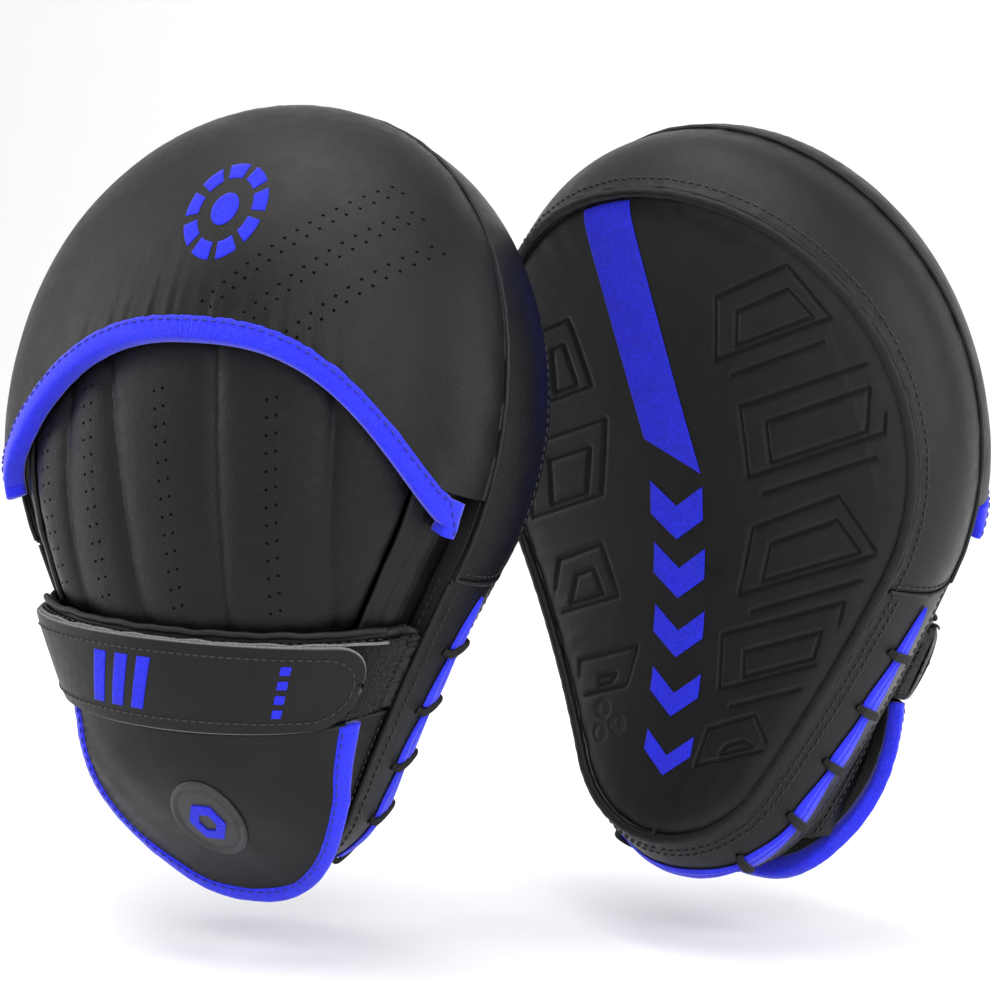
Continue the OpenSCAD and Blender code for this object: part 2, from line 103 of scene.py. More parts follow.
def gridOf(a, b):
    return np.meshgrid(a, b, indexing="ij")


def squared(wave, power):
    # a sine or cosine flattened into a rounded square
    return np.sign(wave) * np.abs(wave) ** power


def halfWidth(z, inset=0.0):
    big = mitt["headRadius"] - inset
    small = mitt["wristRadius"] - inset
    z = np.asarray(z, float)
    head = np.sqrt(np.clip(big ** 2 - (z - headZ) ** 2, 0.01, None))
    wrist = np.sqrt(np.clip(small ** 2 - (z - wristZ) ** 2, 0.01, None))
    side = (big + (z - headZ) * math.sin(slope)) / math.cos(slope)
    low = wristZ - small * math.sin(slope)
    return np.where(z > headZ - big * math.sin(slope), head, np.where(z < low, wrist, side))


def insetOf(x, z):
    # how far a place on the pattern lies inside its outline
    ax = np.abs(x)
    along = ax * math.sin(slope) + (z - headZ) * math.cos(slope)
    below = ax * math.sin(slope) + (z - wristZ) * math.cos(slope)
    head = mitt["headRadius"] - np.hypot(x, z - headZ)
    wrist = mitt["wristRadius"] - np.hypot(x, z - wristZ)
    side = mitt["headRadius"] - (ax * math.cos(slope) - (z - headZ) * math.sin(slope))
    return np.where(along >= 0, head, np.where(below <= 0, wrist, side))


def outlineAt(run, out=0.0):
    # a place on the outline, run millimetres from the top towards the thumb, pushed out sideways
    run = np.asarray(run, float)
    u = np.abs(run)
    hand = np.where(run < 0, -1.0, 1.0)
    angHead = math.pi / 2 - u / mitt["headRadius"]
    angWrist = -slope - (u - headArc - sideRun) / mitt["wristRadius"]
    ang = np.where(u < headArc, angHead, np.where(u < headArc + sideRun, -slope, angWrist))
    down = np.clip(u - headArc, 0, sideRun)
    onWrist = u > headArc + sideRun
    r = np.where(onWrist, mitt["wristRadius"], mitt["headRadius"]) + out
    cz = np.where(onWrist, wristZ, headZ)
    x = r * np.cos(ang) - np.where(onWrist, 0, down * math.sin(slope))
    z = cz + r * np.sin(ang) - np.where(onWrist, 0, down * math.cos(slope))
    return x * hand, z


def bend(p):
    p = np.asarray(p, float)
    a = (p[..., 2] - mitt["bendLevel"]) / mitt["bendRadius"]
    q = mitt["bendRadius"] + p[..., 1]
    y = q * np.cos(a) - mitt["bendRadius"]
    return np.stack([p[..., 0], y, mitt["bendLevel"] + q * np.sin(a)], -1)


def bent(x, y, z):
    return bend(np.stack(np.broadcast_arrays(x, y, z), -1))


def crownHeight(z):
    level = mitt["crownLevel"]
    return np.where(z > level, mitt["crown"],
                    mitt["wristCrown"] + (mitt["crown"] - mitt["wristCrown"]) * stepTo(z / level))


def domeRise(x, z):
    q = np.where(z > headZ, np.hypot(x, z - headZ) / mitt["headRadius"], np.abs(x) / halfWidth(z))
    share = stepTo((z - mitt["roundFrom"]) / mitt["roundOver"])
    e = mitt["handRound"] + (mitt["headRound"] - mitt["handRound"]) * share
    return crownHeight(z) * np.clip(1 - q * q, 0.0004, 1) ** e


def surfacePoint(x, z, rise, deep):
    # a place on a curved surface over the pattern, deep millimetres under it
    step = 0.3
    x, z, deep = np.broadcast_arrays(np.asarray(x, float), np.asarray(z, float), np.asarray(deep, float))
    gx = (rise(x + step, z) - rise(x - step, z)) / (2 * step)
    gz = (rise(x, z + step) - rise(x, z - step)) / (2 * step)
    n = np.stack([-gx, np.ones_like(gx), -gz], -1)
    n /= np.linalg.norm(n, axis=-1, keepdims=True)
    base = np.stack([x, thick + rise(x, z), z], -1)
    return bend(base - n * deep[..., None])


def domePoint(t, z, deep):
    # t is the share of the half width; at the very end the sheet drops to the rim of the padding
    t, z, deep = np.broadcast_arrays(np.asarray(t, float), np.asarray(z, float), np.asarray(deep, float))
    inner = np.clip(t, -mitt["edgeShare"], mitt["edgeShare"])
    p = surfacePoint(halfWidth(z) * inner, z, domeRise, deep)
    rim = bent(np.sign(t) * (halfWidth(z) - deep), rimLevel, z)
    return np.where((np.abs(t) > mitt["rimShare"])[..., None], rim, p)


def archZ(x, lift):
    low = mitt["archLow"] + lift * mitt["archSpread"]
    high = mitt["archHigh"] + lift
    full = np.clip(np.abs(x) / halfWidth(mitt["archLow"]), 0, 1) ** mitt["archFull"]
    return low + (high - low) * (1 - full)


def onRay(angle, share):
    b = np.where(angle < math.pi / 2, angle, math.pi - angle)
    reach = np.where(b >= -slope, mitt["headRadius"], mitt["headRadius"] / np.cos(b + slope))
    return share * reach * np.cos(angle), headZ + share * reach * np.sin(angle), reach


def archShare(angle, lift):
    lo = np.zeros_like(angle)
    hi = np.ones_like(angle)
    for _ in range(26):
        mid = (lo + hi) / 2
        x, z, _ = onRay(angle, mid)
        over = z > archZ(x, lift)
        hi = np.where(over, mid, hi)
        lo = np.where(over, lo, mid)
    return (lo + hi) / 2


def archAngle(lift):
    return math.atan2(mitt["archLow"] + lift * mitt["archSpread"] - headZ, halfWidth(mitt["archLow"]))


def ripple(u, lengths, seed):
    # uneven puckers: a few waves of different length that drift against each other
    total = np.zeros_like(np.asarray(u, float))
    for k, wave in enumerate(lengths):
        total += np.sin(2 * math.pi * u / wave + seed * 1.7 + k * 2.3 + 0.8 * np.sin(u / (wave * 2.6) + seed))
    return total / len(lengths)


# where the two mitts stand
mounts = {m["name"]: m for m in record["mounts"]}
joints = {j["name"]: j for j in frame["joints"]}
leftPocket = np.array(mounts["left_hand_pocket"]["pos_m"]) * 1000
flapAxis = joints["right_cuff_flap_lift"]["axis"]
rightTurn = math.atan2(flapAxis[1], flapAxis[0])
pocket = bend([0.0, thick + 20, mitt["archLow"] - 2])


def toFrame(side, p):
    p = np.asarray(p, float) - pocket
    if side == "right":
        c, s = math.cos(rightTurn), math.sin(rightTurn)
        return np.stack([p[..., 0] * c - p[..., 1] * s, p[..., 0] * s + p[..., 1] * c, p[..., 2]], -1) / 1000
    return (p * [1, -1, 1] + leftPocket) / 1000


# mesh builders
def newPiece(side, name, points, faces, material, body, uv=None, replaces=(), slotName=None):
    mesh = bpy.data.meshes.new(side + "_" + name)
    mesh.from_pydata([tuple(q) for q in toFrame(side, points)], [], faces)
    mesh.update()
    b = bmesh.new()
    b.from_mesh(mesh)
    bmesh.ops.recalc_face_normals(b, faces=b.faces)
    if uv is not None:
        layer = b.loops.layers.uv.new("pattern")
        for f in b.faces:
            for loop in f.loops:
                loop[layer].uv = uv[loop.vert.index]
    for f in b.faces:
        f.smooth = True
    b.to_mesh(mesh)
    b.free()
    piece = bpy.data.objects.new(side + "_" + name, mesh)
    bpy.context.scene.collection.objects.link(piece)
    mesh.materials.append(material)
    if isinstance(body, str):
        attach(piece, body if body == "root" else side + body)
    if replaces:
        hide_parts(*[side + "_" + n for n in replaces])
    return piece


def gridFaces(rows, cols, offset=0, wrap=False):
    faces = []
    last = cols if wrap else cols - 1
    for i in range(rows - 1):
        for j in range(last):
            a = offset + i * cols + j
            c = offset + i * cols + (j + 1) % cols
            faces.append((a, c, c + cols, a + cols))
    return faces


def tubeFaces(rows, cols, base=0):
    # the sides and both ends of a tube
    ends = [tuple(base + j for j in range(cols)),
            tuple(base + (rows - 1) * cols + j for j in range(cols - 1, -1, -1))]
    return gridFaces(rows, cols, base, True) + ends


mittCore = np.array([0.0, 22.0, 118.0])  # a place well inside the padding, to tell outward from inward


def gridNormals(grid):
    du = np.gradient(grid, axis=0)
    dv = np.gradient(grid, axis=1)
    n = np.cross(du, dv)
    return n / np.clip(np.linalg.norm(n, axis=-1, keepdims=True), 1e-9, None)


def thickSheet(grid, deep, bulge=0.3):
    # a sheet with a rounded edge: the grid, a copy of it deep millimetres behind, and a rim between them
    rows, cols = grid.shape[:2]
    inner = grid - gridNormals(grid) * deep
    ring = [(0, j) for j in range(cols)] + [(i, cols - 1) for i in range(1, rows)]
    ring += [(rows - 1, j) for j in range(cols - 2, -1, -1)] + [(i, 0) for i in range(rows - 2, 0, -1)]
    rim = []
    for i, j in ring:
        away = np.zeros(3)
        if i in (0, rows - 1):
            away += grid[i, j] - grid[1 if i == 0 else rows - 2, j]
        if j in (0, cols - 1):
            away += grid[i, j] - grid[i, 1 if j == 0 else cols - 2]
        away /= max(np.linalg.norm(away), 1e-9)
        rim.append((grid[i, j] + inner[i, j]) / 2 + away * abs(deep) * bulge)
    points = np.concatenate([grid.reshape(-1, 3), inner.reshape(-1, 3), np.array(rim)])
    count = rows * cols
    faces = gridFaces(rows, cols)
    faces += [f[::-1] for f in gridFaces(rows, cols, count)]
    for k in range(len(ring)):
        m = (k + 1) % len(ring)
        a = ring[k][0] * cols + ring[k][1]
        b = ring[m][0] * cols + ring[m][1]
        faces.append((b, a, 2 * count + k, 2 * count + m))
        faces.append((2 * count + m, 2 * count + k, count + a, count + b))
    return points, faces, ring


def sheetPiece(side, name, grid, deep, material, body="root", uv=None, bulge=0.3, **more):
    if float(((grid - mittCore) * gridNormals(grid)).sum()) < 0:
        grid = grid[::-1]
        uv = None if uv is None else uv[::-1]
    points, faces, ring = thickSheet(grid, deep, bulge)
    flatUv = None
    if uv is not None:
        flatUv = uv.reshape(-1, 2)
        cols = grid.shape[1]
        edge = np.array([flatUv[i * cols + j] for i, j in ring])
        flatUv = np.concatenate([flatUv, flatUv, edge]) / 1000
    return newPiece(side, name, points, faces, material, body, flatUv, **more)


def tubePoints(path, radius, sides, closed=False):
    path = np.asarray(path, float)
    count = len(path)
    along = np.roll(path, -1, 0) - np.roll(path, 1, 0) if closed else np.gradient(path, axis=0)
    along /= np.clip(np.linalg.norm(along, axis=1, keepdims=True), 1e-9, None)
    up = np.array([0.0, 1.0, 0.0])
    a = np.cross(along, up)
    a /= np.clip(np.linalg.norm(a, axis=1, keepdims=True), 1e-9, None)
    b = np.cross(a, along)
    turn = np.linspace(0, 2 * math.pi, sides, endpoint=False)
    radius = np.broadcast_to(np.asarray(radius, float), (count,))
    ringPoints = path[:, None] + radius[:, None, None] * (
        a[:, None] * np.cos(turn)[None, :, None] + b[:, None] * np.sin(turn)[None, :, None])
    points = ringPoints.reshape(-1, 3)
    if not closed:
        return points, tubeFaces(count, sides)
    last = (count - 1) * sides
    return points, gridFaces(count, sides, 0, True) + [
        (last + j, last + (j + 1) % sides, (j + 1) % sides, j) for j in range(sides)]


def tubePiece(side, name, path, radius, sides, material, body="root", closed=False, **more):
    points, faces = tubePoints(path, radius, sides, closed)
    return newPiece(side, name, points, faces, material, body, **more)


stitchSpec = {"pitch": 3.3, "length": 2.3, "radius": 0.34}


def stitchMesh(paths, pitch=stitchSpec["pitch"], length=stitchSpec["length"],
               radius=stitchSpec["radius"]):
    # sewn thread: one small bead for each stitch, lying along paths of (points, outward directions)
    shares = np.array([0.0, 0.14, 0.5, 0.86, 1.0])
    fat = np.array([0.25, 0.85, 1.0, 0.85, 0.25])
    lift = np.array([-0.4, 0.25, 0.5, 0.25, -0.4])
    sides = 6
    turn = np.linspace(0, 2 * math.pi, sides, endpoint=False)
    points, faces = [], []
    base = 0
    for path, normal in paths:
        run = np.concatenate([[0], np.cumsum(np.linalg.norm(np.diff(path, axis=0), axis=1))])
        for k in range(int(run[-1] / pitch)):
            s = k * pitch + (pitch - length) / 2 + shares * length
            p = np.stack([np.interp(s, run, path[:, c]) for c in range(3)], -1)
            n = np.stack([np.interp(s, run, normal[:, c]) for c in range(3)], -1)
            n /= np.linalg.norm(n, axis=1, keepdims=True)
            along = p[-1] - p[0]
            along /= max(np.linalg.norm(along), 1e-9)
            across = np.cross(along, n)
            p = p + n * (lift * radius)[:, None]
            rings = p[:, None] + (across[:, None] * np.cos(turn)[None, :, None]
                                  + n[:, None] * np.sin(turn)[None, :, None]) * (fat * radius)[:, None, None]
            points.append(rings.reshape(-1, 3))
            faces += tubeFaces(len(shares), sides, base)
            base += len(shares) * sides
    return np.concatenate(points), faces


def pathOn(pointAt):
    # pointAt(deep) gives the same path at a depth; the outward direction is found from two depths
    top = pointAt(0.0)
    out = pointAt(-0.6) - top
    return top, out / np.clip(np.linalg.norm(out, axis=1, keepdims=True), 1e-9, None)


def discMesh(centres, normals, radius, sides=8, dish=0.0):
    # punched holes as painted shade: small dark discs, each a hair above the leather
    points, faces = [], []
    turn = np.linspace(0, 2 * math.pi, sides, endpoint=False)
    for k, (c, n) in enumerate(zip(centres, normals)):
        a = np.cross(n, [0.31, 0.2, 0.93])
        a /= np.linalg.norm(a)
        b = np.cross(n, a)
        points.append(np.concatenate([c + radius * (np.cos(turn)[:, None] * a + np.sin(turn)[:, None] * b),
                                      [c - n * dish], [c - n * (dish + 0.3)]]))
        o = k * (sides + 2)
        faces += [(o + j, o + (j + 1) % sides, o + sides) for j in range(sides)]
        faces += [(o + (j + 1) % sides, o + j, o + sides + 1) for j in range(sides)]
    return np.concatenate(points), faces


# materials
def linear(hexColour):
    parts = [int(hexColour[i:i + 2], 16) / 255 for i in (1, 3, 5)]
    return [c / 12.92 if c <= 0.04045 else ((c + 0.055) / 1.055) ** 2.4 for c in parts] + [1.0]


def addNode(material, kind, settings=None, **inputs):
    # adds a node; an input is a value or another node's output, and spaces in its name are written as _
    node = material.node_tree.nodes.new("ShaderNode" + kind)
    for key, value in (settings or {}).items():
        setattr(node, key, value)
    for key, value in inputs.items():
        name = key.replace("_", " ")
        socket = node.inputs[int(name[1:])] if name[0] == "i" and name[1:].isdigit() else node.inputs[name]
        if isinstance(value, bpy.types.NodeSocket):
            material.node_tree.links.new(value, socket)
        else:
            socket.default_value = value
    return node


def newMaterial(name):
    material = bpy.data.materials.new(name)
    material.use_nodes = True
    material.node_tree.nodes.clear()
    return material


def finishMaterial(material, colour, roughness, normal=None, **fixed):
    shader = addNode(material, "BsdfPrincipled", None, Base_Color=colour, Roughness=roughness, **fixed)
    if normal is not None:
        material.node_tree.links.new(normal, shader.inputs["Normal"])
    output = addNode(material, "OutputMaterial")
    material.node_tree.links.new(shader.outputs["BSDF"], output.inputs["Surface"])
    return material


def noise(material, place, millimetres, detail, **more):
    return addNode(material, "TexNoise", None, Vector=place, Scale=1000 / millimetres, Detail=detail, **more)


def toneRamp(material, fac, spec, low, high):
    # the darker and the lighter tone of a surface, spread between two levels of a pattern
    tone = addNode(material, "ValToRGB", None, Fac=fac)
    for k, (key, place) in enumerate((("dark", low), ("light", high))):
        tone.color_ramp.elements[k].color = linear(spec[key])
        tone.color_ramp.elements[k].position = place
    return tone.outputs["Color"]


def coatedLeather(name, spec):
    # polyurethane coated leather, calendered: a low sheen, fine cell grain and faint handling smears
    m = newMaterial(name)
    place = addNode(m, "TexCoord").outputs["Object"]
    grain = addNode(m, "TexVoronoi", {"feature": "DISTANCE_TO_EDGE"}, Vector=place,
                    Scale=1000 / spec["grainMm"])
    pores = noise(m, place, spec["grainMm"] * 0.45, 3.0)
    cloud = noise(m, place, spec["cloudMm"], 5.0, Roughness=0.62)
    smear = noise(m, place, spec["cloudMm"] * 0.22, 4.0,
                    Distortion=0.8)
    tone = toneRamp(m, cloud.outputs["Fac"], spec, 0.3, 0.75)
    edge = addNode(m, "NewGeometry").outputs["Pointiness"]
    rub = addNode(m, "MapRange", None, Value=edge, From_Min=0.515, From_Max=0.58, To_Min=0.0,
                  To_Max=spec["rub"])
    worn = addNode(m, "Mix", {"data_type": "RGBA"}, Factor=rub.outputs["Result"], A=tone,
                   B=linear(spec["worn"]))
    rough = addNode(m, "MapRange", None, Value=smear.outputs["Fac"], From_Min=0.3, From_Max=0.7,
                    To_Min=spec["rough"] - 0.05, To_Max=spec["rough"] + 0.06)
    cells = addNode(m, "MapRange", None, Value=grain.outputs["Distance"], From_Min=0.0, From_Max=0.25)
    mixed = addNode(m, "Math", {"operation": "MULTIPLY_ADD"}, i0=pores.outputs["Fac"], i1=0.35,
                    i2=cells.outputs["Result"])
    bump = addNode(m, "Bump", None, Height=mixed.outputs["Value"], Strength=spec["bump"], Distance=0.00012)
    soft = addNode(m, "Bump", None, Height=cloud.outputs["Fac"], Strength=0.25, Distance=0.0016,
                   Normal=bump.outputs["Normal"])
    return finishMaterial(m, worn.outputs[2], rough.outputs["Result"], soft.outputs["Normal"],
                          IOR=1.5, Specular_IOR_Level=spec["gloss"])


def brushedTape(name, spec):
    # woven polyester tape, brushed: saturated, matt, with a short nap that lightens at grazing angles
    m = newMaterial(name)
    place = addNode(m, "TexCoord").outputs["Object"]
    nap = noise(m, place, spec["napMm"], 6.0, Roughness=0.7)
    fibre = addNode(m, "TexVoronoi", {"feature": "F1"}, Vector=place, Scale=1000 / spec["fibreMm"],
                    Randomness=1.0)
    cloud = noise(m, place, 9.0, 3.0)
    tone = toneRamp(m, nap.outputs["Fac"], spec, 0.32, 0.68)
    shade = addNode(m, "Mix", {"data_type": "RGBA", "blend_type": "MULTIPLY"}, Factor=0.35,
                    A=tone, B=cloud.outputs["Color"])
    height = addNode(m, "Math", {"operation": "ADD"}, i0=nap.outputs["Fac"], i1=fibre.outputs["Distance"])
    bump = addNode(m, "Bump", None, Height=height.outputs["Value"], Strength=spec["bump"], Distance=0.0003)
    return finishMaterial(m, shade.outputs[2], 0.85, bump.outputs["Normal"], IOR=1.5,
                          Specular_IOR_Level=0.25, Sheen_Weight=spec["sheen"], Sheen_Roughness=0.4)


def pileFabric(name, spec):
    # nylon loop pile or brushed fleece: deep black with tiny fibre ends that catch the light
    m = newMaterial(name)
    place = addNode(m, "TexCoord").outputs["Object"]
    loops = addNode(m, "TexVoronoi", {"feature": "SMOOTH_F1"}, Vector=place, Scale=1000 / spec["loopMm"],
                    Smoothness=0.4)
    fuzz = noise(m, place, spec["loopMm"] * 0.6, 5.0, Roughness=0.75)
    tone = toneRamp(m, fuzz.outputs["Fac"], spec, 0.4, 0.72)
    height = addNode(m, "Math", {"operation": "SUBTRACT"}, i0=fuzz.outputs["Fac"],
                     i1=loops.outputs["Distance"])
    bump = addNode(m, "Bump", None, Height=height.outputs["Value"], Strength=0.9, Distance=0.0006)
    return finishMaterial(m, tone, 0.95, bump.outputs["Normal"], Specular_IOR_Level=0.15,
                          Sheen_Weight=spec["sheen"], Sheen_Roughness=0.5)


def plainFinish(name, spec):
    # moulded or spun parts with a fine tooth: rubber, thread, foam
    m = newMaterial(name)
    place = addNode(m, "TexCoord").outputs["Object"]
    tooth = noise(m, place, spec["toothMm"], 4.0, Roughness=0.6)
    tone = toneRamp(m, tooth.outputs["Fac"], spec, 0.35, 0.65)
    bump = addNode(m, "Bump", None, Height=tooth.outputs["Fac"], Strength=spec["bump"], Distance=0.0002)
    return finishMaterial(m, tone, spec["rough"], bump.outputs["Normal"],
                          Specular_IOR_Level=spec.get("gloss", 0.5))


blackLeather = coatedLeather("coatedLeatherCalendered", {
    "dark": "#0b0b0c", "light": "#111112", "worn": "#343436", "rub": 0.25, "rough": 0.4, "gloss": 0.2,
    "grainMm": 0.8, "cloudMm": 34.0, "bump": 0.35})
faceLeather = coatedLeather("faceLeatherPressed", {
    "dark": "#0d0d0e", "light": "#131314", "worn": "#363638", "rub": 0.3, "rough": 0.42, "gloss": 0.24,
    "grainMm": 0.7, "cloudMm": 28.0, "bump": 0.3})
softLeather = coatedLeather("softLeatherTumbled", {
    "dark": "#0a0a0b", "light": "#0f0f10", "worn": "#303032", "rub": 0.25, "rough": 0.44, "gloss": 0.2,
    "grainMm": 1.0, "cloudMm": 22.0, "bump": 0.5})
strapLeather = coatedLeather("strapLeatherCut", {
    "dark": "#0b0b0c", "light": "#111112", "worn": "#5c5c5e", "rub": 0.5, "rough": 0.44, "gloss": 0.2,
    "grainMm": 0.8, "cloudMm": 18.0, "bump": 0.35})
blueTape = brushedTape("brushedTapeBlue", {
    "dark": "#1c20c8", "light": "#3037f6", "napMm": 0.8, "fibreMm": 0.6, "bump": 0.5, "sheen": 0.3})
bluePrint = brushedTape("flockPrintBlue", {
    "dark": "#1a1eb8", "light": "#2a31ea", "napMm": 1.1, "fibreMm": 0.7, "bump": 0.25, "sheen": 0.12})
loopPile = pileFabric("loopPileWoven", {"dark": "#030303", "light": "#1c1c1d", "loopMm": 0.9, "sheen": 0.08})
fleece = pileFabric("fleeceBrushed", {"dark": "#0a0a0a", "light": "#303030", "loopMm": 1.4, "sheen": 0.15})
blackThread = plainFinish("bondedThreadBlack", {
    "dark": "#0c0c0c", "light": "#1b1b1b", "toothMm": 0.3, "rough": 0.5, "bump": 0.5})
blueThread = plainFinish("bondedThreadBlue", {
    "dark": "#10136e", "light": "#1c209c", "toothMm": 0.3, "rough": 0.6, "bump": 0.5})
rawEdge = plainFinish("leatherCutEdge", {
    "dark": "#4a4a4c", "light": "#7a7a7c", "toothMm": 0.5, "rough": 0.8, "bump": 0.6, "gloss": 0.3})
blackCord = plainFinish("braidedCordBlack", {
    "dark": "#0b0b0b", "light": "#1d1d1d", "toothMm": 0.5, "rough": 0.75, "bump": 0.9, "gloss": 0.3})
badgeRubber = plainFinish("rubberMoulded", {
    "dark": "#1a1a1b", "light": "#1f1f20", "toothMm": 0.9, "rough": 0.5, "bump": 0.2})
# painted shade: near-black finish for the strips along the bottoms of the pressed lines
pressedShade = plainFinish("paintedPressedLineShade", {
    "dark": "#030303", "light": "#060606", "toothMm": 0.6, "rough": 0.7, "bump": 0.2, "gloss": 0.2})
# painted shade: near-black finish for the punched holes and the lace eyelets
holeShade = plainFinish("paintedHoleShade", {
    "dark": "#020202", "light": "#050505", "toothMm": 0.5, "rough": 0.95, "bump": 0.1, "gloss": 0.05})
sponge = plainFinish("spongeOpenCell", {
    "dark": "#b9b7ac", "light": "#d6d4c8", "toothMm": 0.9, "rough": 0.95, "bump": 1.0, "gloss": 0.1})
gelRubber = plainFinish("gelRubberCast", {
    "dark": "#6d6d70", "light": "#7a7a7d", "toothMm": 2.0, "rough": 0.5, "bump": 0.1})
print("materials made")


def sew(side, name, paths, thread=blackThread, body="root", slotName="webbing", size=()):
    points, faces = stitchMesh(paths, *size)
    return newPiece(side, name, points, faces, thread, body, slotName=slotName)


def punch(side, name, pointAt, radius, sides, slotName):
    # pointAt(lift) gives the holes' places that far above the leather
    top = pointAt(0.06)
    out = pointAt(1.0) - top
    out /= np.linalg.norm(out, axis=1, keepdims=True)
    # each hole is a dark disc of painted shade
    points, faces = discMesh(top, out, radius, sides, 0.05)
    newPiece(side, name, points, faces, holeShade, "root", slotName=slotName)


# striking face
facePattern = {"inset": 4.4, "edgeRoll": 2.7, "rollReach": 3.2, "lineDeep": 0.7, "lineHalf": 0.8,
               "lean": 0.36, "shadeHalf": 0.5, "shadeLift": 0.3, "pucker": 0.32}


pipingSpec = {"inset": 2.1, "level": 2.0, "radius": 1.95, "uneven": 0.1, "wobble": 0.12}


def skewFrame(x, z, wide, high, cut):
    # corners of a leaning four-sided frame, wider at its foot
    lean = facePattern["lean"]
    return [(x - wide / 2, z - high / 2), (x + wide / 2, z - high / 2 + lean * wide),
            (x + wide / 2 - cut, z + high / 2 + lean * (wide - cut)), (x - wide / 2 + cut / 3, z + high / 2)]


def pressedLines():
    # leaning frames, each with a smaller one inside, and pairs of long slanting lines between them
    lines = []
    for x, z, wide, high, cut in ((42, 194, 52, 24, 14), (55, 152, 58, 26, -5), (51, 108, 58, 25, 16),
                                  (40, 70, 46, 20, -4), (27, 38, 30, 14, 8), (-57, 172, 28, 28, 6),
                                  (-59, 128, 34, 28, -4), (-49, 88, 32, 22, 9), (-36, 55, 22, 14, -3)):
        outer = skewFrame(x, z, wide, high, cut)
        inner = skewFrame(x + 1.5, z + 0.5, wide - 17, high - 11, cut * 0.6)
        lines += [(outer[k], outer[(k + 1) % 4]) for k in range(4)]
        lines += [(inner[k], inner[(k + 1) % 4]) for k in range(4)]
        if wide > 40:
            a, b = outer[0], outer[1]
            lines.append(((a[0] + 6, a[1] - 5.5), (b[0] - 4, b[1] - 5.5 - 10 * facePattern["lean"])))
    return lines


def buildPressedShade(side):
    # the bottoms of the pressed lines as painted shade: a dark, dull strip laid where the groove lies in shade
    points, faces, base = [], [], 0
    for a, b in pressedLines():
        length = math.hypot(b[0] - a[0], b[1] - a[1])
        s = np.linspace(-0.3 / length, 1 + 0.3 / length, int(length / 1.2) + 3)
        nx, nz = -(b[1] - a[1]) / length, (b[0] - a[0]) / length
        x = a[0] + (b[0] - a[0]) * s
        z = a[1] + (b[1] - a[1]) * s
        inside = insetOf(x, z) > facePattern["inset"] + 5
        x, z = x[inside], z[inside]
        if len(x) < 3:
            continue
        off = facePattern["shadeHalf"] * np.array([-1.0, 0.0, 1.0])
        grid = facePoint(x[:, None] + nx * off[None], z[:, None] + nz * off[None], facePattern["shadeLift"])
        points.append(grid.reshape(-1, 3))
        faces += gridFaces(len(x), 3, base)
        base += len(x) * 3
    newPiece(side, "face_pressed_line_shade", np.concatenate(points), faces, pressedShade, "root",
             slotName="face_leather")


def nearLine(x, z, a, b):
    dx, dz = b[0] - a[0], b[1] - a[1]
    t = np.clip(((x - a[0]) * dx + (z - a[1]) * dz) / (dx * dx + dz * dz), 0, 1)
    return np.hypot(x - a[0] - t * dx, z - a[1] - t * dz)


def faceDepth(x, z):
    # y of the face leather: rolled down at the piping, puckered beside it, lines pressed in
    inset = insetOf(x, z) - facePattern["inset"]
    edge = np.exp(-np.clip(inset, 0, None) / facePattern["rollReach"])
    run = np.arctan2(x, z - 120) * 90
    y = facePattern["edgeRoll"] * edge
    y = y + facePattern["pucker"] * np.exp(-np.clip(inset, 0, None) / 7) * ripple(run, (9, 14, 23), 1)
    y = y + 0.35 * np.sin(x / 27 + 1) * np.sin(z / 31)
    near = np.full_like(x, 99.0)
    for a, b in pressedLines():
        near = np.minimum(near, nearLine(x, z, a, b))
    for k in range(3):
        cx = -31 + 5.2 * math.cos(2.1 * k)
        cz = 41 + 5.2 * math.sin(2.1 * k)
        near = np.minimum(near, np.abs(np.hypot(x - cx, z - cz) - 2.6))
    fade = stepTo((inset - 3) / 6)
    crease = nearLine(x, z, (66, 196), (80, 140))
    y = y - 0.35 * np.exp(-(crease / 1.6) ** 2) * fade
    return y + facePattern["lineDeep"] * np.exp(-(near / facePattern["lineHalf"]) ** 2) * fade


def facePoint(x, z, lift=0.0):
    return bent(x, faceDepth(x, z) - lift, z)


def buildFace(side):
    inset = facePattern["inset"]
    rows, cols = 420, 250
    z = mitt["length"] / 2 - (mitt["length"] / 2 - inset) * np.cos(np.linspace(0, math.pi, rows))
    z[0] += 0.02
    z[-1] -= 0.02
    t = np.sin(np.linspace(-1, 1, cols) * 1.35) / math.sin(1.35)
    grid = np.stack(gridOf(z, t), -1)
    zz = grid[..., 0]
    xx = halfWidth(zz, inset) * grid[..., 1]
    face = facePoint(xx, zz)
    panel = sheetPiece(side, "face_leather", face, 3.0, faceLeather, uv=np.stack([xx, zz], -1),
                       replaces=["face_panel"], slotName="face_leather", bulge=0.1)
    # piping: leather rolled over a cord, in the corner between face and wall
    run = np.linspace(-halfRound, halfRound, 460, endpoint=False)
    wobble = pipingSpec["wobble"] * ripple(run, (7, 11, 19), 3)
    px, pz = outlineAt(run, wobble - pipingSpec["inset"])
    path = bent(px, pipingSpec["level"] + wobble, pz)
    radius = pipingSpec["radius"] + pipingSpec["uneven"] * ripple(run, (5, 8), 2)
    tubePiece(side, "face_piping_cord", path, radius, 14, softLeather, closed=True,
              replaces=["face_piping"], slotName="piping")


stripe = {"half": 11.0, "low": 144.0, "cut": 5.5, "film": 0.2}
printSpec = {"count": 5, "top": 127.5, "pitch": 22.5, "bar": 12.5, "half": 12.0, "drop": 8.5, "x": -6.5,
             "lean": 0.06}


def stripeCentre(z):
    return -19.5 + 0.0018 * (z - 225) ** 2


def printedShape(side, name, x, z):
    film = facePoint(x, z, stripe["film"])
    sheetPiece(side, name, film, 0.12, bluePrint, uv=np.stack([x, z], -1), slotName="blue_binding")


